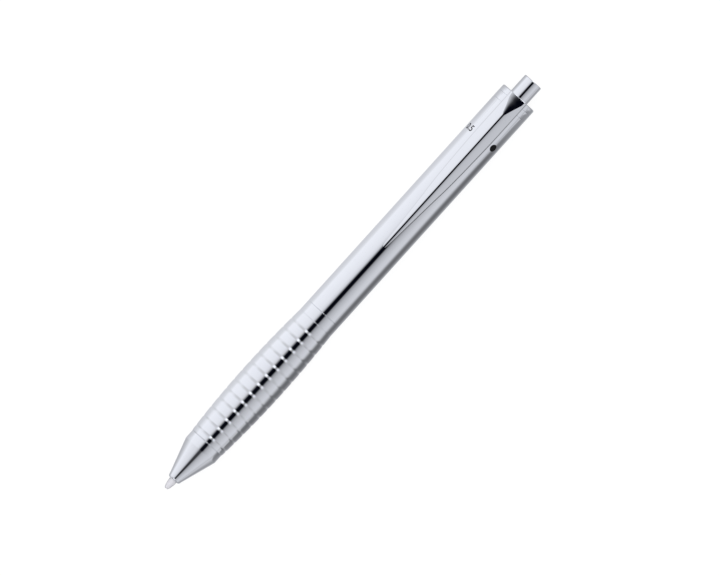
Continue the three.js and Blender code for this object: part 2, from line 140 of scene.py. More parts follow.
def linked(name: str, data: bpy.types.ID) -> Object:
    """Makes an object and links it to the scene.

    Args:
        name: The object's name.
        data: Its mesh, curve, lamp or camera.

    Returns:
        The object, at the origin.
    """
    obj = bpy.data.objects.new(name, data)
    bpy.context.scene.collection.objects.link(obj)
    return obj


# Finishes


class Grain(Enum):
    """Which way the marks of making run on a surface, as scales along X, Y and Z."""

    AROUND = (1.0, 0.04, 0.04)
    ALONG = (0.04, 1.0, 1.0)
    EVEN = (1.0, 1.0, 1.0)


@dataclass(frozen=True)
class Finish:
    """What every finish has: two close colours, its roughness, and fine marks with sizes in millimetres."""

    name: str
    colour: str
    shade: str
    roughness: tuple[float, float]
    mark_size: float
    mark_height: float

    # Between which values of the wear the roughness goes from its least to its most
    WEAR_RANGE = (0.0, 1.0)

    def patterns(self, tree: Tree, place: Socket) -> tuple[Socket, ...]:
        """Adds the textures of this kind of finish.

        Args:
            tree: The material's tree.
            place: Places on the piece, in metres.

        Returns:
            Outputs for the tint, the wear and the height of the marks.
        """
        raise NotImplementedError

    def substance(self) -> dict[str, Any]:
        """Shader inputs that belong to what the finish is made of."""
        raise NotImplementedError

    def material(self) -> bpy.types.Material:
        """Builds the finish's node material.

        Returns:
            The material, on the piece's own coordinates.
        """
        mat = bpy.data.materials.new(self.name)
        tree = blank_tree(mat)
        place = add_node(tree, "ShaderNodeTexCoord").outputs["Object"]
        tint, wear, height = self.patterns(tree, place)
        colour = add_node(tree, "ShaderNodeMix", {"data_type": "RGBA"}, {
            "Factor": tint, "A": linear(self.colour), "B": linear(self.shade)})
        gloss = add_node(tree, "ShaderNodeMapRange", inputs={
            "Value": wear, "From Min": self.WEAR_RANGE[0], "From Max": self.WEAR_RANGE[1],
            "To Min": self.roughness[0], "To Max": self.roughness[1]})
        relief = add_node(tree, "ShaderNodeBump", inputs={
            "Height": height, "Strength": 1.0, "Distance": self.mark_height * MM})
        shader = add_node(tree, "ShaderNodeBsdfPrincipled", inputs={
            "Base Color": colour.outputs["Result"], "Roughness": gloss.outputs["Result"],
            "Normal": relief.outputs["Normal"], **self.substance()})
        add_node(tree, "ShaderNodeOutputMaterial", inputs={"Surface": shader.outputs["BSDF"]})
        mat.diffuse_color = linear(self.colour)
        return mat


@dataclass(frozen=True)
class Metal(Finish):
    """A metal, with marks that run one way and a slow cloudiness."""

    grain: Grain = Grain.AROUND
    cloud_size: float = 6.0

    WEAR_RANGE = (0.1, 0.45)

    def patterns(self, tree: Tree, place: Socket) -> tuple[Socket, ...]:
        """Adds clouds for the tint, marks stretched along the grain for the height, and both for the wear.

        Args:
            tree: The material's tree.
            place: Places on the piece, in metres.

        Returns:
            Outputs for the tint, the wear and the height of the marks.
        """
        cloud = add_node(tree, "ShaderNodeTexNoise", inputs={
            "Vector": place, "Scale": 1 / (self.cloud_size * MM), "Detail": 3.0}).outputs["Fac"]
        stretched = add_node(tree, "ShaderNodeMapping", inputs={"Vector": place, "Scale": self.grain.value})
        marks = add_node(tree, "ShaderNodeTexNoise", inputs={
            "Vector": stretched.outputs["Vector"], "Scale": 1 / (self.mark_size * MM),
            "Detail": 4.0, "Roughness": 0.6}).outputs["Fac"]
        wear = add_node(tree, "ShaderNodeMath", {"operation": "MULTIPLY"}, {0: cloud, 1: marks})
        return cloud, wear.outputs["Value"], marks

    def substance(self) -> dict[str, Any]:
        """A bare metal, with the default IOR."""
        return {"Metallic": 1.0}


@dataclass(frozen=True)
class Plastic(Finish):
    """A moulded, turned or printed body, with slight flow in its colour and a fine grain."""

    ior: float = 1.49
    depth: float = 0.0

    WEAR_RANGE = (0.3, 0.7)
    FLOW_SIZE = 2.5
    LIGHT_REACH = 0.4

    def patterns(self, tree: Tree, place: Socket) -> tuple[Socket, ...]:
        """Adds the flow for the tint, and the grain for the wear and the height.

        Args:
            tree: The material's tree.
            place: Places on the piece, in metres.

        Returns:
            Outputs for the tint, the wear and the height of the marks.
        """
        flow = add_node(tree, "ShaderNodeTexNoise", inputs={
            "Vector": place, "Scale": 1 / (self.FLOW_SIZE * MM), "Detail": 2.0}).outputs["Fac"]
        grain = add_node(tree, "ShaderNodeTexNoise", inputs={
            "Vector": place, "Scale": 1 / (self.mark_size * MM), "Detail": 3.0}).outputs["Fac"]
        return flow, grain, grain

    def substance(self) -> dict[str, Any]:
        """A body that light may enter a little way."""
        return {"IOR": self.ior, "Subsurface Weight": self.depth, "Subsurface Radius": (1.0, 1.0, 1.0),
                "Subsurface Scale": self.LIGHT_REACH * MM}


@dataclass
class Finishes:
    """Every finish of the pen, with the material of each record slot."""

    # Bright chromium plating on brass: a cool mirror, with hair lines round the pen from the buffing wheel
    polished_shell: Metal = Metal("chromium_plated_brass_polished", "F3F5F9", "EFF1F6",
                                  (0.015, 0.05), 0.35, 0.00002)
    # Drawn stainless rod and strip: a grey shine, streaked along the pen
    steel: Metal = Metal("stainless_steel_drawn", "C9CBCE", "BDBFC3", (0.16, 0.3), 0.12, 0.0003,
                         Grain.ALONG)
    # Hard drawn wire: darker, with fine die marks
    spring_steel: Metal = Metal("spring_steel_wire_drawn", "B4B7BB", "9DA0A5", (0.18, 0.3), 0.08, 0.0002,
                                Grain.EVEN)
    # Free-cutting brass from the lathe: warm, with turning marks round the pen
    brass: Metal = Metal("brass_turned", "DDBB74", "CBA55E", (0.14, 0.28), 0.1, 0.0004)
    # Moulded polyacetal, coloured to tell the refills apart: a dull satin from the mould's fine grain
    black_plastic: Plastic = Plastic("polyacetal_moulded_black", "1D1E20", "26272A", (0.35, 0.5),
                                     0.08, 0.002)
    red_plastic: Plastic = Plastic("polyacetal_moulded_red", "B3262B", "A22126", (0.35, 0.5),
                                   0.08, 0.002)
    green_plastic: Plastic = Plastic("polyacetal_moulded_green", "3F7A56", "376E4C", (0.35, 0.5),
                                     0.08, 0.002)
    grey_plastic: Plastic = Plastic("polyacetal_moulded_grey", "8B8E92", "808388", (0.35, 0.5),
                                    0.08, 0.002)
    # Natural polyacetal: a pale, waxy white that light enters a little way
    tip_plastic: Plastic = Plastic("polyacetal_turned_natural", "DDDCDF", "D4D3D8", (0.25, 0.4),
                                   0.12, 0.001, 1.48, 0.35)
    # Pencil lead: extruded graphite and clay, dark with a metallic glint
    graphite: Plastic = Plastic("graphite_extruded", "2C2C2E", "3A3A3D", (0.3, 0.45), 0.04, 0.003, 1.8)
    # Pad-printed enamel: a flat, dense black with a soft gloss
    ink: Plastic = Plastic("enamel_ink_pad_printed_black", "050506", "0A0A0C", (0.4, 0.52),
                           0.06, 0.0006, 1.3)
    red_ink: Plastic = Plastic("enamel_ink_pad_printed_red", "B01C22", "A5181E", (0.3, 0.42),
                               0.06, 0.0006)
    made: dict[str, bpy.types.Material] = field(default_factory=dict)

    def of(self, slot: str) -> bpy.types.Material:
        """Finds or builds the material of a slot.

        Args:
            slot: The finish's name among these fields.

        Returns:
            The material, the same one each time.
        """
        if slot not in self.made:
            self.made[slot] = getattr(self, slot).material()
        return self.made[slot]


# Meshes


@dataclass(frozen=True)
class Corner:
    """One corner of a turned profile in millimetres: place along the axis, radius and rounding."""

    x: float
    radius: float
    rounding: float = 0.0


def rounded(corners: Sequence[Corner]) -> list[tuple[float, float]]:
    """Rounds the corners of a closed profile.

    Args:
        corners: The profile's corners in order. Its last one joins its first.

    Returns:
        Points of the profile as (x, radius).
    """
    points: list[tuple[float, float]] = []
    for i, corner in enumerate(corners):
        here = Vector((corner.x, corner.radius))
        before, after = corners[i - 1], corners[(i + 1) % len(corners)]
        back = Vector((before.x, before.radius)) - here
        on = Vector((after.x, after.radius)) - here
        if corner.rounding <= 0 or min(back.length, on.length) < 1e-6:
            points.append(here[:])
            continue
        half = back.angle(on) / 2
        reach = min(corner.rounding / math.tan(half), 0.48 * back.length, 0.48 * on.length)
        radius = reach * math.tan(half)
        centre = here + (back.normalized() + on.normalized()).normalized() * radius / math.sin(half)
        start = here + back.normalized() * reach - centre
        end = here + on.normalized() * reach - centre
        first = math.atan2(start.y, start.x)
        sweep = math.remainder(math.atan2(end.y, end.x) - first, math.tau)
        steps = max(2, math.ceil(abs(sweep) / ARC_STEP))
        for s in range(steps + 1):
            turn = first + sweep * s / steps
            points.append((centre.x + radius * math.cos(turn), centre.y + radius * math.sin(turn)))
    return points


def sphere(centre: float, radius: float, steps: int) -> list[Corner]:
    """Lays out half a circle that turns into a ball.

    Args:
        centre: Its centre along the axis in millimetres.
        radius: Its radius in millimetres.
        steps: Steps from pole to pole.

    Returns:
        The profile's corners.
    """
    turns = [math.pi * i / steps for i in range(steps + 1)]
    return [Corner(centre - radius * math.cos(turn), radius * math.sin(turn)) for turn in turns]


def shell(name: str, vertices: Iterable[Sequence[float]], faces: Iterable[Sequence[int]],
          sharp: float = SHARP_ANGLE) -> Object:
    """Makes a smooth closed object out of vertices in metres, its faces pointing outwards.

    Args:
        name: The piece's name.
        vertices: Places in the pen's frame, in metres.
        faces: Rows of vertex numbers.
        sharp: Edges that turn more than this angle stay sharp.

    Returns:
        The new object, at the origin.
    """
    mesh = bpy.data.meshes.new(name)
    mesh.from_pydata([tuple(v) for v in vertices], [], [tuple(f) for f in faces])
    clean(mesh, sharp)
    return linked(name, mesh)


def clean(mesh: bpy.types.Mesh, sharp: float = SHARP_ANGLE) -> None:
    """Merges doubles, drops faces without area, turns faces outwards and shades a mesh smoothly.

    Args:
        mesh: The mesh to clean.
        sharp: Edges that turn more than this angle stay sharp.
    """
    work = bmesh.new()
    work.from_mesh(mesh)
    bmesh.ops.remove_doubles(work, verts=work.verts, dist=WELD * MM)
    bmesh.ops.dissolve_degenerate(work, edges=work.edges, dist=WELD * MM)
    bmesh.ops.recalc_face_normals(work, faces=work.faces)
    work.to_mesh(mesh)
    work.free()
    mesh.shade_smooth()
    mesh.set_sharp_from_angle(angle=sharp)


def baked(obj: Object, sharp: float = SHARP_ANGLE) -> Object:
    """Turns an object with modifiers into a plain mesh object of the same name.

    Args:
        obj: The object, which is used up.
        sharp: Edges that turn more than this angle stay sharp.

    Returns:
        The plain object.
    """
    graph = bpy.context.evaluated_depsgraph_get()
    mesh = bpy.data.meshes.new_from_object(obj.evaluated_get(graph), depsgraph=graph)
    name = obj.name
    bpy.data.objects.remove(obj)
    mesh.name = name
    clean(mesh, sharp)
    return linked(name, mesh)


class Join(Enum):
    """What a second solid does to a piece."""

    CUT = "DIFFERENCE"
    UNITE = "UNION"


def combined(piece: Object, join: Join, *others: Object, sharp: float = SHARP_ANGLE) -> Object:
    """Cuts other solids out of a piece or unites them with it.

    Args:
        piece: The piece, which is used up.
        join: Whether the others are cut out or united.
        others: The other solids, which are used up too.
        sharp: Edges that turn more than this angle stay sharp.

    Returns:
        One plain object with the piece's name.
    """
    for other in others:
        step = piece.modifiers.new(other.name, "BOOLEAN")
        step.operation = join.value
        step.solver = "EXACT"
        step.object = other
    plain = baked(piece, sharp)
    for other in others:
        bpy.data.objects.remove(other)
    return plain


def block(name: str, low: Vector, high: Vector) -> Object:
    """Makes a plain block that cuts a piece or joins it.

    Args:
        name: The block's name.
        low: Its lowest corner in millimetres.
        high: Its highest corner in millimetres.

    Returns:
        The block.
    """
    vertices = [Vector((x, y, z)) * MM
                for x in (low.x, high.x) for y in (low.y, high.y) for z in (low.z, high.z)]
    faces = [(0, 1, 3, 2), (4, 6, 7, 5), (0, 4, 5, 1), (2, 3, 7, 6), (0, 2, 6, 4), (1, 5, 7, 3)]
    return shell(name, vertices, faces)


@dataclass(frozen=True)
class Line:
    """An axis that pieces are turned about: a frame whose X runs along it, in metres."""

    matrix: Matrix

    def turned(self, name: str, corners: Sequence[Corner], sides: int = BODY_SIDES) -> Object:
        """Turns a closed profile about this axis.

        Args:
            name: The piece's name.
            corners: The profile in millimetres along and away from this axis.
            sides: Steps round the axis.

        Returns:
            The turned piece.
        """
        rings: list[list[int]] = []
        vertices: list[Vector] = []
        for x, radius in rounded(corners):
            count = sides if radius > 1e-6 else 1
            rings.append([len(vertices) + i % count for i in range(sides)])
            for i in range(count):
                turn = 2 * math.pi * i / sides
                local = Vector((x, -radius * math.sin(turn), radius * math.cos(turn))) * MM
                vertices.append(self.matrix @ local)
        faces: list[tuple[int, ...]] = []
        for one, two in zip(rings, rings[1:] + rings[:1]):
            for i in range(sides):
                k = (i + 1) % sides
                corner_set = dict.fromkeys((one[i], one[k], two[k], two[i]))
                if len(corner_set) > 2:
                    faces.append(tuple(corner_set))
        return shell(name, vertices, faces)


def dress(piece: Object, body: str, slot: str, finishes: Finishes, *nodes: str) -> Object:
    """Gives a piece its material and its place in the frame, and reports it.

    Args:
        piece: The finished mesh object.
        body: The body that it moves with.
        slot: The finish, which is also its slot where the record has one.
        finishes: The pen's finishes.
        nodes: CAD nodes that the piece stands for.

    Returns:
        The same piece.
    """
    piece.data.materials.clear()
    piece.data.materials.append(finishes.of(slot))
    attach(piece, body)
    if nodes:
        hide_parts(*nodes)
    log.info("%s: %d faces, rides on %s", piece.name, len(piece.data.polygons), body)
    return piece


def dress_node(name: str, slot: str, finishes: Finishes) -> None:
    """Gives a CAD node that stays its detailed material.

    Args:
        name: The CAD node's name.
        slot: The finish.
        finishes: The pen's finishes.
    """
    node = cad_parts[name]
    for each in node.material_slots:
        each.material = finishes.of(slot)
    log.info("%s: CAD node kept, %s", name, slot)


# Stations


@dataclass(frozen=True)
class Stations:
    """Places along the pen's axis in millimetres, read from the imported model."""

    axis_height: float
    mouth: float
    grip: float
    band: float
    barrel: float
    ring: float
    crown: float
    end: float
    button_end: float
    barrel_radius: float

    @staticmethod
    def read() -> "Stations":
        """Reads the stations from the boxes of the CAD nodes.

        Returns:
            The stations of this frame.
        """
        def span(node: str) -> tuple[float, float]:
            """First and last place of a node along X, in millimetres."""
            low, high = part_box(node)
            return low.x / MM, high.x / MM

        low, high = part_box("crown")
        return Stations(
            axis_height=(low.z + high.z) / 2 / MM, mouth=span("nozzle")[0], grip=span("grip_sleeve")[0],
            band=span("centre_band")[0], barrel=span("barrel")[0], ring=span("clip_ring")[0],
            crown=span("clip_ring")[1], end=span("crown")[1], button_end=span("push_button")[1],
            barrel_radius=5.2)

    def line(self) -> Line:
        """The pen's own axis."""
        return Line(Matrix.Translation((0, 0, self.axis_height * MM)))


# Geometry trees


class GroovedSleeve:
    """A node tree that turns a sleeve with even grooves whose lands follow a swelling outline."""

    SIZES = ("Front X", "Axis Height", "Length", "First Groove", "Pitch", "Groove Width", "Groove Depth",
             "Front Radius", "Crown Radius", "Back Radius", "Crown Place", "Bore", "Counterbore",
             "Counterbore Start", "Edge")
    SHARES = ("Crowding", "Softness")
    COUNTS = ("Grooves", "Rows", "Sides")

    # Each step names its result, the operation and one or two values: numbers, inputs or earlier results
    STEPS: tuple[tuple[str, str, Any, Any], ...] = (
        # Row and turn of each grid point
        ("last row", "SUBTRACT", "Rows", 1.0),
        ("grid share", "ADD", "Grid X", 0.5),
        ("grid row", "MULTIPLY", "grid share", "last row"),
        ("row", "ROUND", "grid row", None),
        ("rows left", "SUBTRACT", "last row", "row"),
        ("turn share", "ADD", "Grid Y", 0.5),
        ("turn", "MULTIPLY", "turn share", math.tau),
        # Rows run evenly along the sleeve, then crowd together where a groove bends the surface
        ("skin row", "SUBTRACT", "row", 1.0),
        ("skin rows", "SUBTRACT", "Rows", 6.0),
        ("share", "DIVIDE", "skin row", "skin rows"),
        ("even", "MULTIPLY", "share", "Length"),
        ("from first", "SUBTRACT", "even", "First Groove"),
        ("phase", "DIVIDE", "from first", "Pitch"),
        ("phase angle", "MULTIPLY", "phase", math.tau),
        ("wave", "SINE", "phase angle", None),
        ("wave reach", "MULTIPLY", "Crowding", "Pitch"),
        ("wave height", "DIVIDE", "wave reach", math.tau),
        ("shift", "MULTIPLY", "wave height", "wave"),
        ("crowded", "SUBTRACT", "even", "shift"),
        ("past front", "MAXIMUM", "crowded", "Edge"),
        ("back edge", "SUBTRACT", "Length", "Edge"),
        ("x", "MINIMUM", "past front", "back edge"),
        # The outline swells as a parabola each way from the widest place
        ("in front", "LESS_THAN", "x", "Crown Place"),
        ("behind", "SUBTRACT", 1.0, "in front"),
        ("far end", "MULTIPLY", "behind", "Length"),
        ("front part", "MULTIPLY", "in front", "Front Radius"),
        ("back part", "MULTIPLY", "behind", "Back Radius"),
        ("end radius", "ADD", "front part", "back part"),
        ("from crown", "SUBTRACT", "x", "Crown Place"),
        ("whole way", "SUBTRACT", "far end", "Crown Place"),
        ("way", "DIVIDE", "from crown", "whole way"),
        ("way squared", "MULTIPLY", "way", "way"),
        ("swell", "SUBTRACT", "Crown Radius", "end radius"),
        ("fall", "MULTIPLY", "swell", "way squared"),
        ("outline", "SUBTRACT", "Crown Radius", "fall"),
        # The nearest groove of the row
        ("to first", "SUBTRACT", "x", "First Groove"),
        ("pitches", "DIVIDE", "to first", "Pitch"),
        ("near", "ROUND", "pitches", None),
        ("last groove", "SUBTRACT", "Grooves", 1.0),
        ("at least first", "MAXIMUM", "near", 0.0),
        ("number", "MINIMUM", "at least first", "last groove"),
        ("groove reach", "MULTIPLY", "number", "Pitch"),
        ("centre", "ADD", "First Groove", "groove reach"),
        # Its section is a V with a softened bottom: one at the middle, nought at the shoulders
        ("off centre", "SUBTRACT", "x", "centre"),
        ("across", "DIVIDE", "off centre", "Groove Width"),
        ("either side", "ABSOLUTE", "across", None),
        ("doubled", "MULTIPLY", "either side", 2.0),
        ("inside", "MINIMUM", "doubled", 1.0),
        ("inside squared", "MULTIPLY", "inside", "inside"),
        ("soft squared", "MULTIPLY", "Softness", "Softness"),
        ("here squared", "ADD", "inside squared", "soft squared"),
        ("here", "SQRT", "here squared", None),
        ("shoulder squared", "ADD", 1.0, "soft squared"),
        ("shoulder", "SQRT", "shoulder squared", None),
        ("drop", "SUBTRACT", "shoulder", "here"),
        ("whole drop", "SUBTRACT", "shoulder", "Softness"),
        ("bowl", "DIVIDE", "drop", "whole drop"),
        ("cut", "MULTIPLY", "bowl", "Groove Depth"),
        ("radius", "SUBTRACT", "outline", "cut"),
        # Broken edges at both ends
        ("front edge", "SUBTRACT", "Front Radius", "Edge"),
        ("rear edge", "SUBTRACT", "Back Radius", "Edge"),
    )
    # Places and radii of the first rows and of the last rows, counted from each end
    FIRST_ROWS = ((0.0, "Bore"), (0.0, "front edge"), ("x", "radius"))
    LAST_ROWS = ((0.0, "Bore"), ("Counterbore Start", "Bore"), ("Counterbore Start", "Counterbore"),
                 ("Length", "Counterbore"), ("Length", "rear edge"))

    def __init__(self) -> None:
        """Builds the tree with its named inputs."""
        self.tree = bpy.data.node_groups.new("grooved_sleeve", "GeometryNodeTree")
        face = self.tree.interface
        for name in self.SIZES + self.SHARES:
            face.new_socket(name, in_out="INPUT", socket_type="NodeSocketFloat")
        for name in self.COUNTS:
            face.new_socket(name, in_out="INPUT", socket_type="NodeSocketInt")
        face.new_socket("Material", in_out="INPUT", socket_type="NodeSocketMaterial")
        face.new_socket("Geometry", in_out="OUTPUT", socket_type="NodeSocketGeometry")
        self._lay_out()

    def _lay_out(self) -> None:
        """Joins the nodes: grid, arithmetic, first and last rows, turning and welding."""
        tree = self.tree
        size = add_node(tree, "NodeGroupInput").outputs
        grid = add_node(tree, "GeometryNodeMeshGrid", inputs={
            "Size X": 1.0, "Size Y": 1.0, "Vertices X": size["Rows"], "Vertices Y": size["Sides"]})
        flat = add_node(tree, "ShaderNodeSeparateXYZ", inputs={
            0: add_node(tree, "GeometryNodeInputPosition").outputs[0]})
        known: dict[Any, Any] = {name: size[name] for name in self.SIZES + self.SHARES + self.COUNTS}
        known["Grid X"], known["Grid Y"] = flat.outputs["X"], flat.outputs["Y"]
        for result, operation, *values in self.STEPS:
            inputs = {i: known.get(value, value) for i, value in enumerate(values) if value is not None}
            known[result] = add_node(tree, "ShaderNodeMath", {"operation": operation}, inputs).outputs[0]

        profile = None
        for counter, rows in (("row", self.FIRST_ROWS), ("rows left", self.LAST_ROWS)):
            switch = add_node(tree, "GeometryNodeIndexSwitch", {"data_type": "VECTOR"})
            points = [add_node(tree, "ShaderNodeCombineXYZ", inputs={
                "X": known.get(x, x), "Y": known[radius]}).outputs[0] for x, radius in rows]
            points += [profile] if profile else []
            while len(switch.index_switch_items) < len(points):
                switch.index_switch_items.new()
            held = add_node(tree, "ShaderNodeMath", {"operation": "MINIMUM"}, {
                0: known[counter], 1: len(points) - 1})
            for number, source in enumerate((held.outputs[0], *points)):
                tree.links.new(source, switch.inputs[number])
            profile = switch.outputs[0]

        part = add_node(tree, "ShaderNodeSeparateXYZ", inputs={0: profile})
        x = add_node(tree, "ShaderNodeMath", inputs={0: part.outputs["X"], 1: size["Front X"]})
        spoke = add_node(tree, "ShaderNodeCombineXYZ", inputs={"X": x.outputs[0], "Z": part.outputs["Y"]})
        round_axis = add_node(tree, "ShaderNodeVectorRotate", {"rotation_type": "X_AXIS"}, {
            "Vector": spoke.outputs[0], "Angle": known["turn"]})
        height = add_node(tree, "ShaderNodeCombineXYZ", inputs={"Z": size["Axis Height"]})
        place = add_node(tree, "ShaderNodeVectorMath", inputs={
            0: round_axis.outputs[0], 1: height.outputs[0]})
        turned = add_node(tree, "GeometryNodeSetPosition", inputs={
            "Geometry": grid.outputs["Mesh"], "Position": place.outputs[0]})
        welded = add_node(tree, "GeometryNodeMergeByDistance", inputs={
            "Geometry": turned.outputs[0], "Distance": WELD * MM})
        real = add_node(tree, "GeometryNodeRealizeInstances", inputs={0: welded.outputs[0]})
        dressed = add_node(tree, "GeometryNodeSetMaterial", inputs={
            "Geometry": real.outputs[0], "Material": size["Material"]})
        add_node(tree, "NodeGroupOutput", inputs={"Geometry": dressed.outputs[0]})

    def sleeve(self, name: str, sizes: Mapping[str, float], counts: Mapping[str, int],
               material: bpy.types.Material) -> Object:
        """Makes one sleeve.

        Args:
            name: The piece's name.
            sizes: Millimetres for the inputs in SIZES, and plain numbers for those in SHARES.
            counts: Numbers for the inputs in COUNTS.
            material: What the tree sets on its faces.

        Returns:
            The sleeve as a plain mesh.
        """
        metres = {key: value * (MM if key in self.SIZES else 1) for key, value in sizes.items()}
        return grown(name, self.tree, {**metres, **counts, "Material": material})


def grown(name: str, tree: Tree, values: Mapping[str, Any]) -> Object:
    """Runs a geometry tree with its inputs set and returns what it makes as a plain mesh.

    Args:
        name: The piece's name.
        tree: The geometry node tree.
        values: Input names and their values.

    Returns:
        The plain mesh object.
    """
    obj = linked(name, bpy.data.meshes.new(name))
    modifier = obj.modifiers.new("grow", "NODES")
    modifier.node_group = tree
    for item in tree.interface.items_tree:
        if item.item_type == "SOCKET" and item.in_out == "INPUT" and item.name in values:
            modifier[item.identifier] = values[item.name]
    return baked(obj)


class CoilSpring:
    """A node tree that winds a wire spring along X."""

    SIZES = ("From X", "To X", "Centre Y", "Centre Z", "Coil Radius", "Wire Radius", "Turns")

    def __init__(self) -> None:
        """Builds the tree with its named inputs."""
        self.tree = tree = bpy.data.node_groups.new("coil_spring", "GeometryNodeTree")
        for name in self.SIZES:
            tree.interface.new_socket(name, in_out="INPUT", socket_type="NodeSocketFloat")
        tree.interface.new_socket("Steps", in_out="INPUT", socket_type="NodeSocketInt")
        tree.interface.new_socket("Material", in_out="INPUT", socket_type="NodeSocketMaterial")
        tree.interface.new_socket("Geometry", in_out="OUTPUT", socket_type="NodeSocketGeometry")
        size = add_node(tree, "NodeGroupInput").outputs
        length = add_node(tree, "ShaderNodeMath", {"operation": "SUBTRACT"}, {
            0: size["To X"], 1: size["From X"]})
        coil = add_node(tree, "GeometryNodeCurveSpiral", inputs={
            "Resolution": size["Steps"], "Rotations": size["Turns"], "Start Radius": size["Coil Radius"],
            "End Radius": size["Coil Radius"], "Height": length.outputs[0]})
        where = add_node(tree, "ShaderNodeCombineXYZ", inputs={
            "X": size["From X"], "Y": size["Centre Y"], "Z": size["Centre Z"]})
        laid = add_node(tree, "GeometryNodeTransform", inputs={
            "Geometry": coil.outputs[0], "Translation": where.outputs[0],
            "Rotation": (0.0, math.pi / 2, 0.0)})
        wire = add_node(tree, "GeometryNodeCurvePrimitiveCircle", inputs={
            "Resolution": 10, "Radius": size["Wire Radius"]})
        swept = add_node(tree, "GeometryNodeCurveToMesh", inputs={
            "Curve": laid.outputs[0], "Profile Curve": wire.outputs[0], "Fill Caps": True})
        real = add_node(tree, "GeometryNodeRealizeInstances", inputs={0: swept.outputs[0]})
        dressed = add_node(tree, "GeometryNodeSetMaterial", inputs={
            "Geometry": real.outputs[0], "Material": size["Material"]})
        add_node(tree, "NodeGroupOutput", inputs={"Geometry": dressed.outputs[0]})

    def wound(self, node: str, wire_radius: float, turns: float, material: bpy.types.Material) -> Object:
        """Winds the spring that stands for a CAD spring, in the box of that node.

        Args:
            node: The CAD node's name.
            wire_radius: Half the wire's thickness in millimetres.
            turns: Turns from end to end.
            material: The wire's material.

        Returns:
            The spring as a plain mesh.
        """
        low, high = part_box(node)
        wire = wire_radius * MM
        middle = (low + high) / 2
        values = {
            "From X": low.x + wire, "To X": high.x - wire, "Centre Y": middle.y, "Centre Z": middle.z,
            "Coil Radius": (high.y - low.y) / 2 - wire, "Wire Radius": wire, "Turns": turns, "Steps": 40,
            "Material": material}
        return grown(f"{node}_wire", self.tree, values)


# Front section


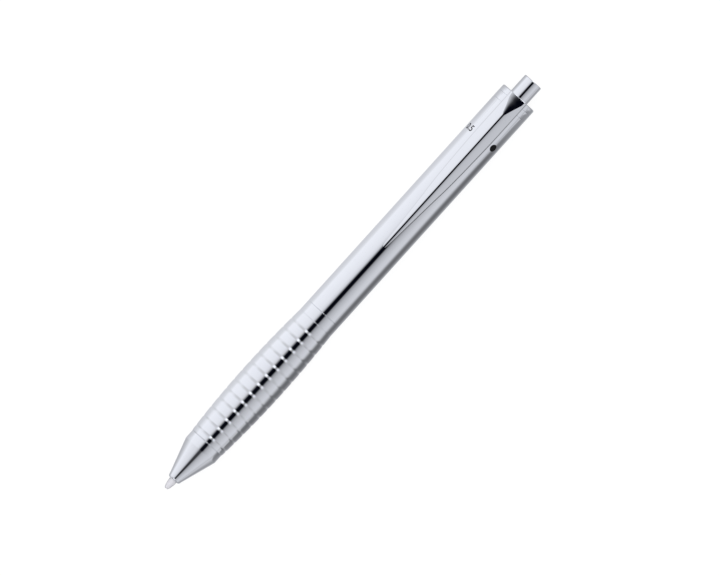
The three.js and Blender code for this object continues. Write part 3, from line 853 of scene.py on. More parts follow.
@dataclass
class FrontSection:
    """Nozzle, grooved grip, centre band and threaded insert, which turn together. Sizes in millimetres."""

    at: Stations
    finishes: Finishes
    sleeves: GroovedSleeve
    mouth_bore: float = 1.3
    mouth_radius: float = 1.58
    mouth_rounding: float = 1.0
    mouth_flat: float = 0.03
    cone_length: float = 10.28
    cone_radius: float = 4.92
    spigot_radius: float = 4.3
    spigot_length: float = 6.0
    back_bore: float = 4.0
    throat: Table = ((8.0, 4.0), (5.0, 3.08), (3.3, 2.4), (0.3, 1.3))
    joint_rounding: float = 0.16
    front_radius: float = 5.03
    crown_radius: float = 5.88
    crown_place: float = 21.323
    first_groove: float = 1.55
    groove_pitch: float = 3.042
    groove_depth: float = 0.15
    groove_width: float = 0.62
    bore: float = 4.4
    counterbore: float = 4.6
    counterbore_length: float = 12.3
    thread_length: float = 7.0
    thread_pitch: float = 0.6
    thread_depth: float = 0.2
    insert_wall: float = 0.45

    def build(self) -> None:
        """Builds and dresses the four pieces."""
        self._nozzle()
        self._grip()
        self._band()
        self._insert()

    def _nozzle(self) -> None:
        """The cone, its short cylinder and the bore that gathers the refills."""
        mouth, grip, nose = self.at.mouth, self.at.grip, self.mouth_rounding
        cone = mouth + self.cone_length
        slope = (self.cone_radius - self.mouth_radius) / self.cone_length
        # A quarter of an ellipse leads from the bore's edge into the cone
        edge = self.mouth_bore + self.mouth_flat
        rise = self.mouth_radius + slope * nose - edge
        lip = [Corner(mouth + nose * (1 - math.cos(a)), edge + rise * math.sin(a))
               for a in (math.radians(10 * i) for i in range(9))]
        corners = [
            Corner(mouth, self.mouth_bore, 0.02),
            *lip,
            Corner(cone, self.cone_radius, 0.3),
            Corner(grip, self.cone_radius, self.joint_rounding),
            Corner(grip, self.spigot_radius),
            Corner(grip + self.spigot_length, self.spigot_radius, 0.1),
            Corner(grip + self.spigot_length, self.back_bore, 0.1),
            *(Corner(mouth + x, radius) for x, radius in self.throat),
        ]
        piece = self.at.line().turned("nozzle_shell", corners)
        dress(piece, "front", "polished_shell", self.finishes, "nozzle")

    def _grip(self) -> None:
        """The swelling sleeve with thirteen turned grooves."""
        length = self.at.band - self.at.grip
        sizes = {
            "Front X": self.at.grip, "Axis Height": self.at.axis_height, "Length": length,
            "First Groove": self.first_groove, "Pitch": self.groove_pitch,
            "Groove Width": self.groove_width, "Groove Depth": self.groove_depth,
            "Front Radius": self.front_radius,
            "Crown Radius": self.crown_radius, "Back Radius": self.at.barrel_radius,
            "Crown Place": self.crown_place, "Bore": self.bore, "Counterbore": self.counterbore,
            "Counterbore Start": length - self.counterbore_length, "Edge": 0.06,
            "Crowding": 0.78, "Softness": 0.3}
        counts = {"Grooves": 13, "Rows": 440, "Sides": 145}
        piece = self.sleeves.sleeve("grooved_grip", sizes, counts, self.finishes.of("polished_shell"))
        dress(piece, "front", "polished_shell", self.finishes, "grip_sleeve")

    def _band(self) -> None:
        """The plain ring behind the grip."""
        band, barrel, radius = self.at.band, self.at.barrel, self.at.barrel_radius
        corners = [
            Corner(band, self.counterbore), Corner(band, radius, 0.07), Corner(barrel, radius, 0.1),
            Corner(barrel, self.counterbore)]
        piece = self.at.line().turned("centre_band_ring", corners)
        dress(piece, "front", "polished_shell", self.finishes, "centre_band")

    def _insert(self) -> None:
        """The brass insert, cut with a fine thread that holds front and barrel together."""
        low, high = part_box("thread_insert")
        length = (high.x - low.x) / MM
        radius = (high.z - low.z) / 2 / MM
        bore = radius - self.insert_wall
        sizes = {
            "Front X": low.x / MM, "Axis Height": self.at.axis_height, "Length": length,
            "First Groove": length - self.thread_length, "Pitch": self.thread_pitch,
            "Groove Width": self.thread_pitch, "Groove Depth": self.thread_depth,
            "Front Radius": radius, "Crown Radius": radius, "Back Radius": radius,
            "Crown Place": length / 2, "Bore": bore, "Counterbore": bore,
            "Counterbore Start": length / 2, "Edge": 0.1, "Crowding": 0.0, "Softness": 0.3}
        counts = {"Grooves": 11, "Rows": 260, "Sides": 97}
        piece = self.sleeves.sleeve("thread_insert_sleeve", sizes, counts, self.finishes.of("brass"))
        dress(piece, "front", "brass", self.finishes, "thread_insert")


# Barrel, ring, crown and marks


@dataclass
class Housing:
    """Barrel, clip ring, crown and the printed marks. Sizes in millimetres."""

    at: Stations
    finishes: Finishes
    bore: float = 4.6
    land_bore: float = 4.1
    land_length: float = 2.2
    edge_break: float = 0.22
    line_rounding: float = 0.09
    slot_half_width: float = 1.8
    slot_floor: float = 4.9
    crown_depth: float = 6.64
    spigot_radius: float = 4.5
    spigot_bore: float = 3.7
    button_bore: float = 2.9
    mark_place: float = 50.4
    mark_radius: float = 1.02
    mark_height: float = 0.012

    def build(self) -> None:
        """Builds and dresses the housing."""
        self._barrel()
        self._ring()
        self._crown()
        self._marks()

    def _barrel(self) -> None:
        """The long polished tube, with the inner land that the guide rests against."""
        barrel, ring, radius = self.at.barrel, self.at.ring, self.at.barrel_radius
        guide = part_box("slider_guide")[0].x / MM
        corners = [
            Corner(barrel, self.bore), Corner(barrel, radius, 0.12),
            Corner(ring, radius, self.line_rounding), Corner(ring, self.bore),
            Corner(guide, self.bore), Corner(guide, self.land_bore, 0.1),
            Corner(guide - self.land_length, self.land_bore, 0.1),
            Corner(guide - self.land_length, self.bore)]
        piece = self.at.line().turned("barrel_tube", corners)
        dress(piece, "barrel", "polished_shell", self.finishes, "barrel")

    def _ring(self) -> None:
        """The ring that carries the clip, milled for the clip's foot."""
        ring, crown, radius = self.at.ring, self.at.crown, self.at.barrel_radius
        corners = [
            Corner(ring, self.bore), Corner(ring, radius, self.line_rounding),
            Corner(crown, radius, self.line_rounding), Corner(crown, self.bore)]
        whole = self.at.line().turned("clip_ring_milled", corners)
        low = Vector((ring - 1, -self.slot_half_width, self.at.axis_height + self.slot_floor))
        high = Vector((crown + 1, self.slot_half_width, self.at.axis_height + radius + 1))
        milled = combined(whole, Join.CUT, block("slot_tool", low, high))
        dress(milled, "barrel", "polished_shell", self.finishes, "clip_ring")

    def _crown(self) -> None:
        """The end cap, with the long spigot that guides the button."""
        start, end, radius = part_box("crown")[0].x / MM, self.at.end, self.at.barrel_radius
        shoulder = end - self.crown_depth
        corners = [
            Corner(start, self.spigot_bore), Corner(start, self.spigot_radius, 0.1),
            Corner(self.at.crown, self.spigot_radius), Corner(self.at.crown, radius, self.line_rounding),
            Corner(end, radius, self.edge_break * 2), Corner(end, self.button_bore, 0.1),
            Corner(shoulder, self.button_bore), Corner(shoulder, self.spigot_bore)]
        piece = self.at.line().turned("crown_cap", corners)
        dress(piece, "barrel", "polished_shell", self.finishes, "crown")

    def _marks(self) -> None:
        """The printed marks beside the clip: which side has to be up for which refill."""
        for name, turn, slot in (("black_mark", 47, "ink"), ("red_mark", 135, "red_ink")):
            dress(self._printed(name, self._dot(), turn), "barrel", slot, self.finishes)
        digits = self._printed("lead_size_mark", self._digits("0.5", 1.75), -55)
        dress(digits, "barrel", "ink", self.finishes)

    def _dot(self) -> bpy.types.Mesh:
        """Makes a round dot in a plane, in millimetres, cut fine enough to wrap round the barrel.

        Returns:
            The flat mesh.
        """
        mesh = bpy.data.meshes.new("dot")
        work = bmesh.new()
        bmesh.ops.create_circle(work, cap_ends=True, cap_tris=True, radius=self.mark_radius, segments=48)
        bmesh.ops.subdivide_edges(work, edges=work.edges, cuts=3, use_grid_fill=True)
        work.to_mesh(mesh)
        work.free()
        return mesh

    def _digits(self, text: str, height: float) -> bpy.types.Mesh:
        """Digits in a plane, in millimetres, cut fine enough to wrap round the barrel.

        Args:
            text: The digits.
            height: Their height in millimetres.

        Returns:
            The flat mesh, centred.
        """
        curve = bpy.data.curves.new("digits", "FONT")
        curve.body = text
        # A digit is five sevenths of the font's size high, and the offset makes its strokes a little bolder
        curve.size = height * 1.4
        curve.offset = 0.03
        curve.align_x = curve.align_y = "CENTER"
        obj = linked("digits", curve)
        graph = bpy.context.evaluated_depsgraph_get()
        mesh = bpy.data.meshes.new_from_object(obj.evaluated_get(graph), depsgraph=graph)
        bpy.data.objects.remove(obj)
        work = bmesh.new()
        work.from_mesh(mesh)
        bmesh.ops.remove_doubles(work, verts=work.verts, dist=1e-4)
        bmesh.ops.triangulate(work, faces=work.faces)
        bmesh.ops.subdivide_edges(work, edges=[e for e in work.edges if e.calc_length() > 0.3], cuts=2)
        bmesh.ops.triangulate(work, faces=work.faces)
        work.to_mesh(mesh)
        work.free()
        return mesh

    def _printed(self, name: str, flat: bpy.types.Mesh, turn: float) -> Object:
        """Wraps a flat mark round the barrel as a thin closed film.

        Args:
            name: The mark's name.
            flat: The mark in a plane, in millimetres: its up is towards the button.
            turn: Degrees from the clip to the mark's centre, positive to the -Y side.

        Returns:
            The film as an object.
        """
        work = bmesh.new()
        work.from_mesh(flat)
        film = bmesh.ops.extrude_face_region(work, geom=work.faces[:] + work.edges[:] + work.verts[:])
        upper = {v for v in film["geom"] if isinstance(v, bmesh.types.BMVert)}
        for vertex in work.verts:
            lift = self.mark_height if vertex in upper else -self.mark_height / 2
            radius = self.at.barrel_radius + lift
            angle = math.radians(turn) + vertex.co.x / self.at.barrel_radius
            vertex.co = Vector((
                self.mark_place + vertex.co.y,
                -radius * math.sin(angle),
                self.at.axis_height + radius * math.cos(angle))) * MM
        mesh = bpy.data.meshes.new(name)
        bmesh.ops.recalc_face_normals(work, faces=work.faces)
        work.to_mesh(mesh)
        work.free()
        return linked(name, mesh)


# Clip


@dataclass
class PocketClip:
    """The folded clip: tapered blade, centre ridge, cut-off hip, foot and ball. Sizes in millimetres."""

    at: Stations
    finishes: Finishes
    half_width: float = 2.7
    thickness: float = 0.8
    pocket: float = 1.3
    # Slopes of the faces on the +Y side and on the -Y side
    slopes: tuple[float, float] = (0.57, 0.47)
    ridge_softness: float = 0.5
    ridge_flat: float = 0.08
    ridge_offset: float = 0.04
    hip_length: float = 6.1
    # Half widths of the hip's cut along its length, on the +Y side and on the -Y side
    hip_left: Table = (
        (0, 0), (0.03, 0.25), (0.073, 0.43), (0.24, 0.8), (0.407, 1.105), (0.574, 1.505), (0.742, 1.9),
        (0.825, 2.03), (1, 2.18))
    hip_right: Table = (
        (0, 0), (0.03, 0.15), (0.073, 0.3), (0.24, 0.69), (0.407, 1.04), (0.574, 1.42), (0.742, 1.8),
        (0.825, 1.97), (0.909, 2.01), (1, 2.04))
    # The cut bends down towards its +Y edge: this share of its width
    hip_bend: float = 0.03
    root_overhang: float = 0.1
    bevel_width: float = 0.22
    bevel_height: float = 0.33
    # The most of the half width that a bevel takes, and the nearest and farthest of the hip's seams
    bevel_share: float = 0.4
    seam_least: float = 0.4
    seam_share: float = 0.97
    end_bevel: float = 0.06
    ball_radius: float = 0.6
    ball_distance: float = 4.6
    foot_half_width: float = 1.5
    foot_span: tuple[float, float] = (5.2, 6.5)
    foot_gap: float = 0.3
    # Half width and height over the barrel along the blade, as shares of the most
    outline: Table = (
        (0, 0.05), (0.004, 0.15), (0.018, 0.22), (0.139, 0.404), (0.313, 0.635), (0.432, 0.804),
        (0.569, 0.91), (0.786, 1), (1, 1))
    lift: Table = ((0, 0.8), (0.09, 0.42), (0.25, 0.68), (0.5, 0.92), (1, 1))
    crease_angle: float = math.radians(14)

    def build(self) -> None:
        """Builds and dresses the clip."""
        low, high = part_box("clip")
        tip, root = low.x / MM, high.x / MM + self.root_overhang
        rows = self._places(tip, root)
        size = len(self._section(rows[0], tip, root))
        vertices = [Vector(p) * MM for x in rows for p in self._section(x, tip, root)]
        faces: list[tuple[int, ...]] = []
        for r in range(len(rows) - 1):
            for i in range(size):
                k = (i + 1) % size
                faces.append((r * size + i, r * size + k, (r + 1) * size + k, (r + 1) * size + i))
        faces.append(tuple(range(size)))
        faces.append(tuple((len(rows) - 1) * size + i for i in reversed(range(size))))
        blade = shell("pocket_clip", vertices, faces, self.crease_angle)
        whole = combined(blade, Join.UNITE, self._foot(), self._ball(tip), sharp=self.crease_angle)
        dress(whole, "clip", "polished_shell", self.finishes, "clip")

    def _places(self, tip: float, root: float) -> list[float]:
        """Places the sections, closer together at the tip and the hip.

        Args:
            tip: The clip's first station.
            root: The clip's last station.

        Returns:
            Stations from the tip to the root.
        """
        length = root - tip
        near_tip = [tip + 0.012 * length * i / 8 for i in range(8)]
        blade = [tip + length * (0.012 + 0.988 * i / 110) for i in range(110)]
        hip = [root - self.hip_length * (1 - i / 26) for i in range(27)]
        end = [root - self.end_bevel, root]
        marks = near_tip + [x for x in blade if x < root - self.hip_length - 0.1] + hip[:-1] + end
        return sorted(x for x in marks if x <= root)

    def _smooth(self, table: Sequence[tuple[float, float]], place: float) -> float:
        """A value between the points of a table, on a curve that never overshoots.

        Args:
            table: Places and values.
            place: Where the value is wanted.

        Returns:
            The value there.
        """
        slopes = [(b[1] - a[1]) / (b[0] - a[0]) for a, b in zip(table, table[1:])]
        bends = [slopes[0]]
        for one, two in zip(slopes, slopes[1:]):
            bends.append(0.0 if one * two <= 0 else 2 * one * two / (one + two))
        bends.append(slopes[-1])
        i = max(0, min(len(slopes) - 1, sum(1 for at, _ in table if at <= place) - 1))
        (from_at, from_value), (to_at, to_value) = table[i], table[i + 1]
        width = to_at - from_at
        t = min(1.0, max(0.0, (place - from_at) / width))
        return ((2 * t ** 3 - 3 * t ** 2 + 1) * from_value + (t ** 3 - 2 * t ** 2 + t) * width * bends[i]
                + (3 * t ** 2 - 2 * t ** 3) * to_value + (t ** 3 - t ** 2) * width * bends[i + 1])

    def _section(self, x: float, tip: float, root: float) -> list[tuple[float, float, float]]:
        """One section of the blade.

        Args:
            x: Its station.
            tip: The clip's first station.
            root: The clip's last station.

        Returns:
            Points round the section, from the +Y edge over the top and back underneath.
        """
        place = (x - tip) / (root - tip)
        inset = max(0.0, 1 - (root - x) / self.end_bevel) * self.end_bevel * 0.6
        half = self.half_width * self._smooth(self.outline, place) - inset
        ridge = self.at.barrel_radius + self.pocket * self._smooth(self.lift, place) + self.thickness
        share = max(0.0, 1 - (root - x) / self.hip_length)
        left, right = self._smooth(self.hip_left, share), self._smooth(self.hip_right, share)
        soft = self.ridge_softness

        def fold(y: float) -> float:
            """How far the folded top lies below the ridge."""
            away = max(0.0, abs(y - self.ridge_offset) - self.ridge_flat)
            return self.slopes[y < self.ridge_offset] * (math.hypot(away, soft) - soft)

        def roof(y: float) -> float:
            """How far the top, or the hip's bent cut in it, lies below the ridge.

            Args:
                y: Place across the blade.

            Returns:
                The drop in millimetres.
            """
            if share <= 0:
                return fold(y)
            width = left + right
            way = (y + right) / width
            bend = self.hip_bend * width * (way - way ** 4)
            cut = fold(-right) + (fold(left) - fold(-right)) * way - bend
            return max(fold(y), cut) if 0 <= way <= 1 else fold(y)

        bevel = min(self.bevel_width, half * self.bevel_share)
        flat = half - bevel
        seams = [min(max(side, self.seam_least), flat * self.seam_share) for side in (left, right)]
        stations = (flat, seams[0], -seams[1], -flat)
        top = [a + (b - a) * i / steps for a, b, steps in zip(stations, stations[1:], (8, 14, 8))
               for i in range(steps)]
        crest = [(y, ridge - roof(y) - inset) for y in (*top, -flat)]
        corner = ridge - roof(flat) - inset - self.bevel_height * bevel / self.bevel_width
        # The underside follows the fold and has small bevels of its own
        edge = ridge - roof(half) - self.thickness + inset
        middle = ridge - self.thickness + inset
        lower = [(-half, edge + 0.4 * bevel), (0.4 * bevel - half, edge + 0.2 * bevel)]
        valley = [(bevel / 2 - half) * (1 - i / 6) for i in range(1, 6)]
        lower += [(y, middle - fold(y)) for y in valley]
        points = [(half, corner), *crest, (-half, corner), *lower, (0.0, middle)]
        points += [(-y, z) for y, z in reversed(lower)]
        return [(x, y, z + self.at.axis_height) for y, z in points]

    def _foot(self) -> Object:
        """Makes the block under the root that stands in the ring's slot.

        Returns:
            The block.
        """
        bottom, top = (self.at.axis_height + radius for radius in self.foot_span)
        low = Vector((self.at.ring + self.foot_gap, -self.foot_half_width, bottom))
        high = Vector((self.at.crown - self.foot_gap, self.foot_half_width, top))
        return block("foot", low, high)

    def _ball(self, tip: float) -> Object:
        """Makes the ball under the blade that holds on to the cloth.

        Args:
            tip: The clip's first station.

        Returns:
            The ball.
        """
        height = self.at.axis_height + self.at.barrel_radius + 0.1 + self.ball_radius
        axis = Line(Matrix.Translation(Vector((tip + self.ball_distance, 0, height)) * MM))
        return axis.turned("ball", sphere(0, self.ball_radius, 20), 40)


# Button and selector


@dataclass
class PushKnob:
    """The push button and the works that move with it. Sizes in millimetres."""

    at: Stations
    finishes: Finishes
    springs: CoilSpring
    radius: float = 2.72
    edge_rounding: float = 0.3
    bore: float = 1.2
    bore_depth: float = 6.3
    flange_thickness: float = 1.5
    stroke: float = 5.4

    def build(self) -> None:
        """Builds the button and its spring and dresses the works."""
        low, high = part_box("push_button")
        flange = (high.z - low.z) / 2 / MM
        start, end = low.x / MM, self.at.button_end
        floor, step = start + self.bore_depth, start + self.flange_thickness
        corners = [
            Corner(floor, 0), Corner(floor, self.bore), Corner(start, self.bore, 0.05),
            Corner(start, flange, 0.12), Corner(step, flange, 0.12), Corner(step, self.radius),
            Corner(end, self.radius, self.edge_rounding), Corner(end, 0)]
        piece = self.at.line().turned("push_button_cap", corners, 128)
        dress(piece, "button", "polished_shell", self.finishes, "push_button")
        for node, slot in (("plunger", "steel"), ("retaining_clip", "steel"), ("pendulum", "brass")):
            dress_node(node, slot, self.finishes)
        coil = self.springs.wound("button_spring", 0.25, 6, self.finishes.of("spring_steel"))
        dress(coil, "barrel", "spring_steel", self.finishes, "button_spring")
        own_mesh(coil)


@dataclass
class Channel:
    """One refill with its slider and spring. Sizes in millimetres, turns in degrees from the clip."""

    name: str
    turn: float
    tube: str
    tube_slot: str
    slider_slot: str
    nose: float
    lean: float
    point_lean: float
    socket: float
    bodies: tuple[str, str, str]


@dataclass
class Refills:
    """The four refills: sliders, springs, tubes and points. Sizes in millimetres."""

    at: Stations
    finishes: Finishes
    springs: CoilSpring
    channel_radius: float = 2.6
    tube_radius: float = 1.175
    tube_bore: float = 0.85
    nose_length: float = 6.0
    nose_bore: float = 0.47
    point_length: float = 5.0
    point_gap: float = 0.35
    back_radius: float = 0.62
    tip_radius: float = 1.09
    tip_reach: float = 2.88
    ball_radius: float = 0.17
    lead_radius: float = 0.25
    lead_length: float = 4.0
    # Distance from the front and radius of the soft tip
    tip_outline: Table = (
        (0, 0.2), (0.03, 0.34), (0.1, 0.46), (0.2, 0.54), (0.35, 0.61), (0.81, 0.79), (1.33, 0.9),
        (1.83, 0.98), (2.34, 1.05), (2.88, 1.09))
    # Shares of the way to the axis that a drawn-in point is gathered: the black one, and the two that stay
    black_gather: float = 0.519
    still_gather: float = 0.546
    socket_gap: float = 1.3
    guide_plate: float = 1.5
    spring_seat: float = 0.3
    stroke: float = 5.4
    tube_length: float = field(init=False, default=0.0)

    def build(self) -> None:
        """Builds and dresses every channel, the guide and its cap."""
        for node in ("slider_guide", "guide_cap"):
            dress_node(node, "grey_plastic", self.finishes)
        socket_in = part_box("slider_guide")[0].x / MM - self.socket_gap
        socket_out = socket_in - self.stroke
        point_back = self.at.mouth - self.tip_reach + self.point_length
        self.tube_length = math.hypot(socket_out - point_back, self.channel_radius)
        lean_out = math.asin(self.channel_radius / self.tube_length)
        black, still = (math.asin(self.channel_radius * (1 - gather) / self.point_length)
                        for gather in (self.black_gather, self.still_gather))
        channels = (
            Channel("black", 45, "black_tube", "black_plastic", "black_plastic", self.back_radius, 0, black,
                    socket_in, ("black_slider", "black_tube", "black_point")),
            Channel("red", 135, "red_tube", "red_plastic", "red_plastic", self.back_radius, 0, still,
                    socket_in, ("barrel", "barrel", "barrel")),
            Channel("stylus", 225, "stylus_rod", "steel", "grey_plastic", self.tip_radius, lean_out, 0,
                    socket_out, ("stylus_slider", "stylus_rod", "stylus_tip")),
            Channel("pencil", 315, "pencil_tube", "steel", "green_plastic", self.back_radius, 0, still,
                    socket_in, ("barrel", "barrel", "barrel")),
        )
        for channel in channels:
            self._channel(channel)

    def _channel(self, channel: Channel) -> None:
        """Builds one channel's tube, spring and points, and dresses its slider.

        Args:
            channel: The channel.
        """
        dress_node(f"{channel.name}_slider", channel.slider_slot, self.finishes)
        coil = self.springs.wound(f"{channel.name}_spring", 0.15, 7, self.finishes.of("spring_steel"))
        dress(coil, "barrel", "spring_steel", self.finishes, f"{channel.name}_spring")
        if channel.name == "black":
            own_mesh(coil)
        base = self.at.line().matrix @ Matrix.Rotation(math.radians(channel.turn), 4, "X")
        socket = base @ Matrix.Translation(Vector((channel.socket, 0, self.channel_radius)) * MM)
        tube = Line(socket @ Matrix.Rotation(-channel.lean, 4, "Y"))
        self._tube(channel, tube)
        back = tube.matrix @ Matrix.Translation(Vector((-self.tube_length, 0, 0)) * MM)
        self._points(channel, Line(back @ Matrix.Rotation(channel.lean - channel.point_lean, 4, "Y")))

    def _tube(self, channel: Channel, line: Line) -> None:
        """Builds the refill's tube, tapered at its nose.

        Args:
            channel: The channel.
            line: The tube's own axis, which starts in its socket.
        """
        front = self.point_gap - self.tube_length
        shoulder = self.nose_length - self.tube_length
        corners = [
            Corner(front, self.nose_bore), Corner(front, channel.nose, 0.08),
            Corner(shoulder, self.tube_radius, 0.8), Corner(0, self.tube_radius, 0.1),
            Corner(0, self.tube_bore, 0.05), Corner(shoulder, self.tube_bore, 0.3)]
        piece = line.turned(f"{channel.name}_refill_tube", corners, SMALL_SIDES)
        dress(piece, channel.bodies[1], channel.tube_slot, self.finishes, channel.tube)

    def _points(self, channel: Channel, line: Line) -> None:
        """Builds the refill's writing end.

        Args:
            channel: The channel.
            line: The point's own axis, which starts in the tube's nose.
        """
        length, back, lead = self.point_length, self.back_radius, self.lead_radius
        stem = [Corner(0, 0.25), Corner(0.8, 0.25, 0.05), Corner(0.8, 0)]
        if channel.name in ("black", "red"):
            body = [
                Corner(-length + 0.1, 0), Corner(-length + 0.1, 0.32 * back + 0.04, 0.03),
                Corner(-length * 0.97, 0.53 * back, 0.1), Corner(-length * 0.5, 0.77 * back, 0.5),
                Corner(-length * 0.48, 0.86 * back, 0.1), Corner(0, back, 0.05)]
            metal = line.turned(f"{channel.name}_ball_point", body + stem, SMALL_SIDES)
            dress(metal, channel.bodies[2], "brass", self.finishes, f"{channel.name}_point")
            bead = line.turned(
                f"{channel.name}_writing_ball", sphere(self.ball_radius - length, self.ball_radius, 16), 32)
            dress(bead, channel.bodies[2], "steel", self.finishes)
        elif channel.name == "stylus":
            outline = [Corner(at - length, radius, 0.3 if at > 0.3 else 0)
                       for at, radius in self.tip_outline]
            body = [Corner(-length, 0), *outline, Corner(0, self.tip_radius, 0.06)]
            piece = line.turned("stylus_soft_tip", body + stem, 96)
            dress(piece, channel.bodies[2], "tip_plastic", self.finishes, "stylus_tip")
        else:
            bore, end = 0.36, self.lead_length - length
            nose = [
                Corner(-length, bore), Corner(-length, 0.68 * back, 0.03),
                Corner(-length * 0.5, 0.74 * back, 0.05), Corner(-length * 0.48, 0.87 * back, 0.1),
                Corner(0, back, 0.05), Corner(0, bore)]
            piece = line.turned("pencil_sleeve", nose, SMALL_SIDES)
            dress(piece, "barrel", "steel", self.finishes, "pencil_nose")
            rod = [Corner(-length, 0), Corner(-length, lead, 0.06), Corner(end, lead, 0.03), Corner(end, 0)]
            piece = line.turned("pencil_lead_rod", rod, 32)
            dress(piece, "barrel", "graphite", self.finishes, "pencil_lead")


# Studio


@dataclass
class Studio:
    """Floor, glowing sheets that paint reflections beside the pen, light tent, lamp and camera. The tent is
    white, greyer on the -Y side, dark above.
    """

    floor_colour: str = "707070"
    floor_glow: float = 0.87
    floor_half: float = 3.0
    lamp_power: float = 6.5
    lamp_size: tuple[float, float] = (1.2, 0.8)
    lamp_height: float = 0.9
    view_width: float = 183.6
    view_centre: tuple[float, float] = (1.194, -2.49)
    view_height: float = 0.3
    pen_turn: float = 47.9
    cast: tuple[float, float, float] = (0.985, 0.995, 1.035)
    haze: tuple[float, float, float] = (-0.0015, -0.001, 0.0018)
    # The painted-reflection sheets start at this gap from the pen's axis and lie a hair above the floor, in
    # metres
    card_gap: float = 0.0012
    card_height: float = 0.0001
    card_reach: float = 0.2
    # Painted reflection light of the sheets by metres from the axis, darker near the pen as painted shade
    # of the floor: the first table beside the barrel, the others farther out
    painted_dark_reflection_levels: tuple[Table, ...] = (
        ((0, 0.7), (0.0065, 0.6), (0.009, 0.4), (0.012, 0.26), (0.018, 0.17), (0.03, 0.155),
         (0.06, 0.225), (0.12, 0.31), (0.2, 0.38)),
        ((0, 0.7), (0.0065, 0.6), (0.009, 0.42), (0.012, 0.32), (0.03, 0.3), (0.06, 0.36),
         (0.12, 0.42), (0.2, 0.45)),
        ((0, 0.7), (0.0065, 0.56), (0.009, 0.42), (0.012, 0.32), (0.016, 0.34), (0.021, 0.42),
         (0.03, 0.49), (0.043, 0.55), (0.08, 0.61), (0.2, 0.65)))
    painted_light_reflection_levels: tuple[Table, ...] = (
        ((0, 0.68), (0.012, 0.69), (0.03, 0.79), (0.06, 0.89), (0.15, 0.955)),
        ((0, 0.56), (0.012, 0.57), (0.025, 0.72), (0.05, 0.88), (0.15, 0.955)),
        ((0, 0.5), (0.012, 0.53), (0.025, 0.67), (0.05, 0.8), (0.15, 0.86)))
    # Where the second and the third table take over: a centre along the pen and two distances from it
    card_zones: tuple[tuple[float, float, float], ...] = ((0, 0.046, 0.064), (0.003, 0.0598, 0.0622))
    # Light by degrees round the axis, from the floor on the +Y side over the top: straight up, as the cone
    # sees it, leaning, and along
    skies: tuple[Table, ...] = (
        ((-180, 0.69), (-93, 0.955), (-59, 0.92), (-31, 0.86), (-20, 0.76), (-14, 0.64), (-9, 0.35),
         (-4.5, 0.05), (-2, 0.003), (12.4, 0.003), (15.2, 0.06), (19, 0.29), (26, 0.41), (36, 0.52),
         (59, 0.655), (76, 0.685), (84, 0.6), (91, 0.42), (180, 0.42)),
        ((-180, 0.6), (-93, 0.86), (-59, 0.8), (-31, 0.74), (-20, 0.66), (-14, 0.56), (-9, 0.36),
         (-4, 0.12), (-1, 0.055), (10, 0.055), (14, 0.13), (18, 0.34), (26, 0.47), (36, 0.56),
         (59, 0.66), (91, 0.66), (180, 0.6)),
        ((-180, 0.5), (-93, 0.55), (-60, 0.46), (-24, 0.52), (-14, 1.5), (-2, 2.1), (5, 0.8), (11, 0.36),
         (17, 0.85), (26, 1.4), (36, 0.7), (46, 0.4), (60, 0.3), (90, 0.3), (180, 0.3)),
        ((-180, 0.25), (-90, 0.3), (0, 0.32), (90, 0.25), (180, 0.25)))
    # Degrees of tilt along the pen between which each sky after the first takes over
    sky_tilts: Table = ((18, 35), (38, 57), (66, 82))

    def build(self) -> None:
        """Sets up everything round the pen."""
        self._floor()
        self._painted_reflection_sheets()
        self._tent()
        self._lamp()
        self._camera()
        bpy.context.scene.view_settings.view_transform = "Standard"

    def _sheet(self, name: str, low: tuple[float, float], high: tuple[float, float], height: float,
               material: bpy.types.Material) -> Object:
        """Lays a flat sheet.

        Args:
            name: The sheet's name.
            low: One corner in metres.
            high: The opposite corner in metres.
            height: Its height in metres.
            material: Its material.

        Returns:
            The sheet.
        """
        mesh = bpy.data.meshes.new(name)
        corners = [(low[0], low[1]), (high[0], low[1]), (high[0], high[1]), (low[0], high[1])]
        mesh.from_pydata([(x, y, height) for x, y in corners], [], [(0, 1, 2, 3)])
        mesh.materials.append(material)
        sheet = linked(name, mesh)
        return sheet

    def _layered(self, tree: Tree, share: Socket,
                 tables: Sequence[Sequence[tuple[float, tuple[float, ...]]]],
                 spans: Sequence[tuple[Socket, float, float]]) -> Socket:
        """Reads light from tables that take over from one another.

        Args:
            tree: The tree that gets the nodes.
            share: Where each table is read, from 0 to 1.
            tables: Stops of light.
            spans: For each table after the first, a value and its two limits, between which it takes over.

        Returns:
            The light's colour.
        """
        layers = []
        for stops in tables:
            ramp = add_node(tree, "ShaderNodeValToRGB", inputs={"Fac": share})
            set_stops(ramp.color_ramp, stops)
            layers.append(ramp.outputs["Color"])
        light = layers[0]
        for layer, (value, start, end) in zip(layers[1:], spans):
            taken = add_node(tree, "ShaderNodeMapRange", {"interpolation_type": "SMOOTHSTEP"}, {
                "Value": value, "From Min": start, "From Max": end})
            light = add_node(tree, "ShaderNodeMix", {"data_type": "RGBA"}, {
                "Factor": taken.outputs["Result"], "A": light, "B": layer}).outputs["Result"]
        return light

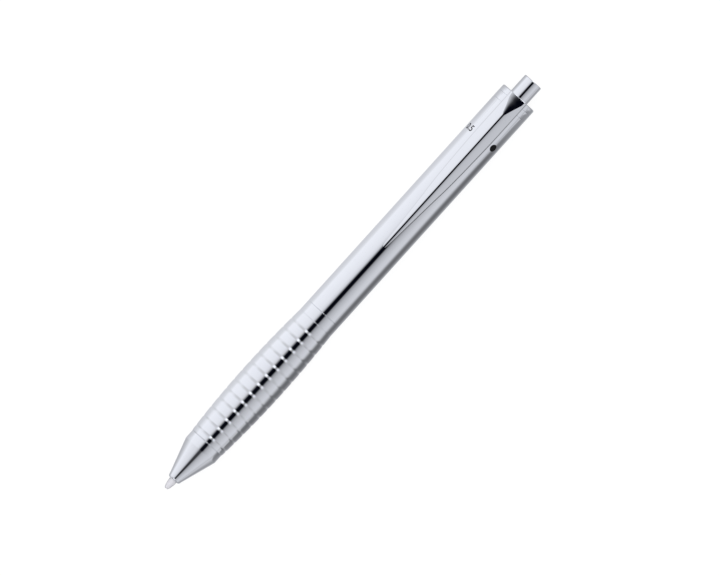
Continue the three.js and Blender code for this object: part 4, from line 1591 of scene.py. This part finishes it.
    def _floor(self) -> None:
        """A pale floor that looks white and keeps the pen's shadow."""
        mat = bpy.data.materials.new("studio_floor")
        tree = blank_tree(mat)
        matt = add_node(tree, "ShaderNodeBsdfDiffuse", inputs={"Color": linear(self.floor_colour)})
        path = add_node(tree, "ShaderNodeLightPath").outputs
        mirrored = add_node(tree, "ShaderNodeMath", {"operation": "MAXIMUM"}, {
            0: path["Is Glossy Ray"], 1: path["Is Transmission Ray"]})
        seen = add_node(tree, "ShaderNodeMath", {"operation": "MAXIMUM"}, {
            0: path["Is Camera Ray"], 1: mirrored.outputs[0]})
        level = add_node(tree, "ShaderNodeMath", {"operation": "MULTIPLY"}, {
            0: seen.outputs[0], 1: self.floor_glow})
        glow = add_node(tree, "ShaderNodeEmission", inputs={"Strength": level.outputs[0]})
        both = add_node(tree, "ShaderNodeAddShader", inputs={0: matt.outputs[0], 1: glow.outputs[0]})
        add_node(tree, "ShaderNodeOutputMaterial", inputs={"Surface": both.outputs[0]})
        half = self.floor_half
        self._sheet("floor", (-half, -half), (half, half), 0.0, mat)

    def _painted_reflection_sheets(self) -> None:
        """Glowing sheets beside the pen that only its polish sees: a painted reflection that makes its
        lower sides read as grey, with painted shade near the pen.
        """
        half, gap = self.floor_half, self.card_gap
        for name, low, high, tables in (
                ("painted_dark_reflection_sheet", (-half, -half), (half, -gap), self.painted_dark_reflection_levels),
                ("painted_light_reflection_sheet", (-half, gap), (half, half), self.painted_light_reflection_levels)):
            mat = bpy.data.materials.new(name)
            tree = blank_tree(mat)
            place = add_node(tree, "ShaderNodeSeparateXYZ", inputs={
                0: add_node(tree, "ShaderNodeTexCoord").outputs["Object"]})
            away = add_node(tree, "ShaderNodeMath", {"operation": "ABSOLUTE"}, {0: place.outputs["Y"]})
            share = add_node(tree, "ShaderNodeMath", {"operation": "DIVIDE"}, {
                0: away.outputs[0], 1: self.card_reach})
            spans = []
            for centre, start, end in self.card_zones:
                along = add_node(tree, "ShaderNodeMath", {"operation": "SUBTRACT"}, {
                    0: place.outputs["X"], 1: centre})
                reach = add_node(tree, "ShaderNodeMath", {"operation": "ABSOLUTE"}, {0: along.outputs[0]})
                spans.append((reach.outputs[0], start, end))
            stops = [[(distance / self.card_reach, (*(level * c for c in self.cast), 1.0))
                      for distance, level in levels] for levels in tables]
            light = self._layered(tree, share.outputs[0], stops, spans)
            # The sheets glow with painted reflection light and painted shade near the pen; camera, diffuse
            # and shadow rays miss them
            glow = add_node(tree, "ShaderNodeEmission", inputs={"Color": light, "Strength": 1.0})
            add_node(tree, "ShaderNodeOutputMaterial", inputs={"Surface": glow.outputs[0]})
            card = self._sheet(name, low, high, self.card_height, mat)
            for rays in ("camera", "diffuse", "transmission", "volume_scatter", "shadow"):
                setattr(card, f"visible_{rays}", False)

    def _tent(self) -> None:
        """The world: brightness by the angle round the pen's axis and by the tilt along it."""
        world = bpy.data.worlds.new("light_tent")
        bpy.context.scene.world = world
        tree = blank_tree(world)
        toward = add_node(tree, "ShaderNodeSeparateXYZ", inputs={
            0: add_node(tree, "ShaderNodeTexCoord").outputs["Generated"]})
        sideways = add_node(tree, "ShaderNodeMath", {"operation": "MULTIPLY"}, {
            0: toward.outputs["Y"], 1: -1.0})
        angle = add_node(tree, "ShaderNodeMath", {"operation": "ARCTAN2"}, {
            0: sideways.outputs[0], 1: toward.outputs["Z"]})
        share = add_node(tree, "ShaderNodeMapRange", inputs={
            "Value": angle.outputs[0], "From Min": -math.pi, "From Max": math.pi})
        tilt = add_node(tree, "ShaderNodeMath", {"operation": "ABSOLUTE"}, {0: toward.outputs["X"]})
        spans = [(tilt.outputs[0], math.sin(math.radians(start)), math.sin(math.radians(end)))
                 for start, end in self.sky_tilts]
        stops = [self._stops(levels) for levels in self.skies]
        light = self._layered(tree, share.outputs["Result"], stops, spans)
        path = add_node(tree, "ShaderNodeLightPath").outputs
        seen = add_node(tree, "ShaderNodeMix", {"data_type": "RGBA"}, {
            "Factor": path["Is Camera Ray"], "A": light, "B": (1.0, 1.0, 1.0, 1.0)})
        back = add_node(tree, "ShaderNodeBackground", inputs={
            "Color": seen.outputs["Result"], "Strength": 1.0})
        add_node(tree, "ShaderNodeOutputWorld", inputs={"Surface": back.outputs[0]})

    def _stops(self, levels: Sequence[tuple[float, float]]) -> list[tuple[float, tuple[float, ...]]]:
        """Ramp stops for levels of light by degrees round the axis, each with the tent's cool cast."""
        tints = list(zip(self.cast, self.haze))
        return [((turn + 180) / 360, (*(max(0.0, level * c + h) for c, h in tints), 1.0))
                for turn, level in levels]

    def _lamp(self) -> None:
        """A broad soft lamp overhead, which gives the matt pieces form and the floor a shadow."""
        data = bpy.data.lights.new("soft_lamp", "AREA")
        data.shape = "RECTANGLE"
        data.size, data.size_y = self.lamp_size
        data.energy = self.lamp_power
        lamp = linked("soft_lamp", data)
        lamp.location = (0.0, 0.0, self.lamp_height)
        lamp.visible_glossy = False

    def _camera(self) -> None:
        """The camera looks straight down, turned so that the pen lies across the picture."""
        data = bpy.data.cameras.new("camera")
        data.type = "ORTHO"
        data.ortho_scale = self.view_width * MM
        data.clip_start, data.clip_end = 0.01, 10
        camera = linked("camera", data)
        camera.location = (self.view_centre[0] * MM, self.view_centre[1] * MM, self.view_height)
        camera.rotation_euler = (0, 0, -math.radians(self.pen_turn))
        bpy.context.scene.camera = camera


def main() -> None:
    """Builds the pen and its studio."""
    logging.basicConfig(level=logging.INFO, format="%(name)s: %(message)s")
    finishes = Finishes()
    at = Stations.read()
    springs = CoilSpring()
    Studio().build()
    FrontSection(at, finishes, GroovedSleeve()).build()
    Housing(at, finishes).build()
    PocketClip(at, finishes).build()
    PushKnob(at, finishes, springs).build()
    Refills(at, finishes, springs).build()
    log.info("sizes written")


if __name__ == "__main__":
    main()
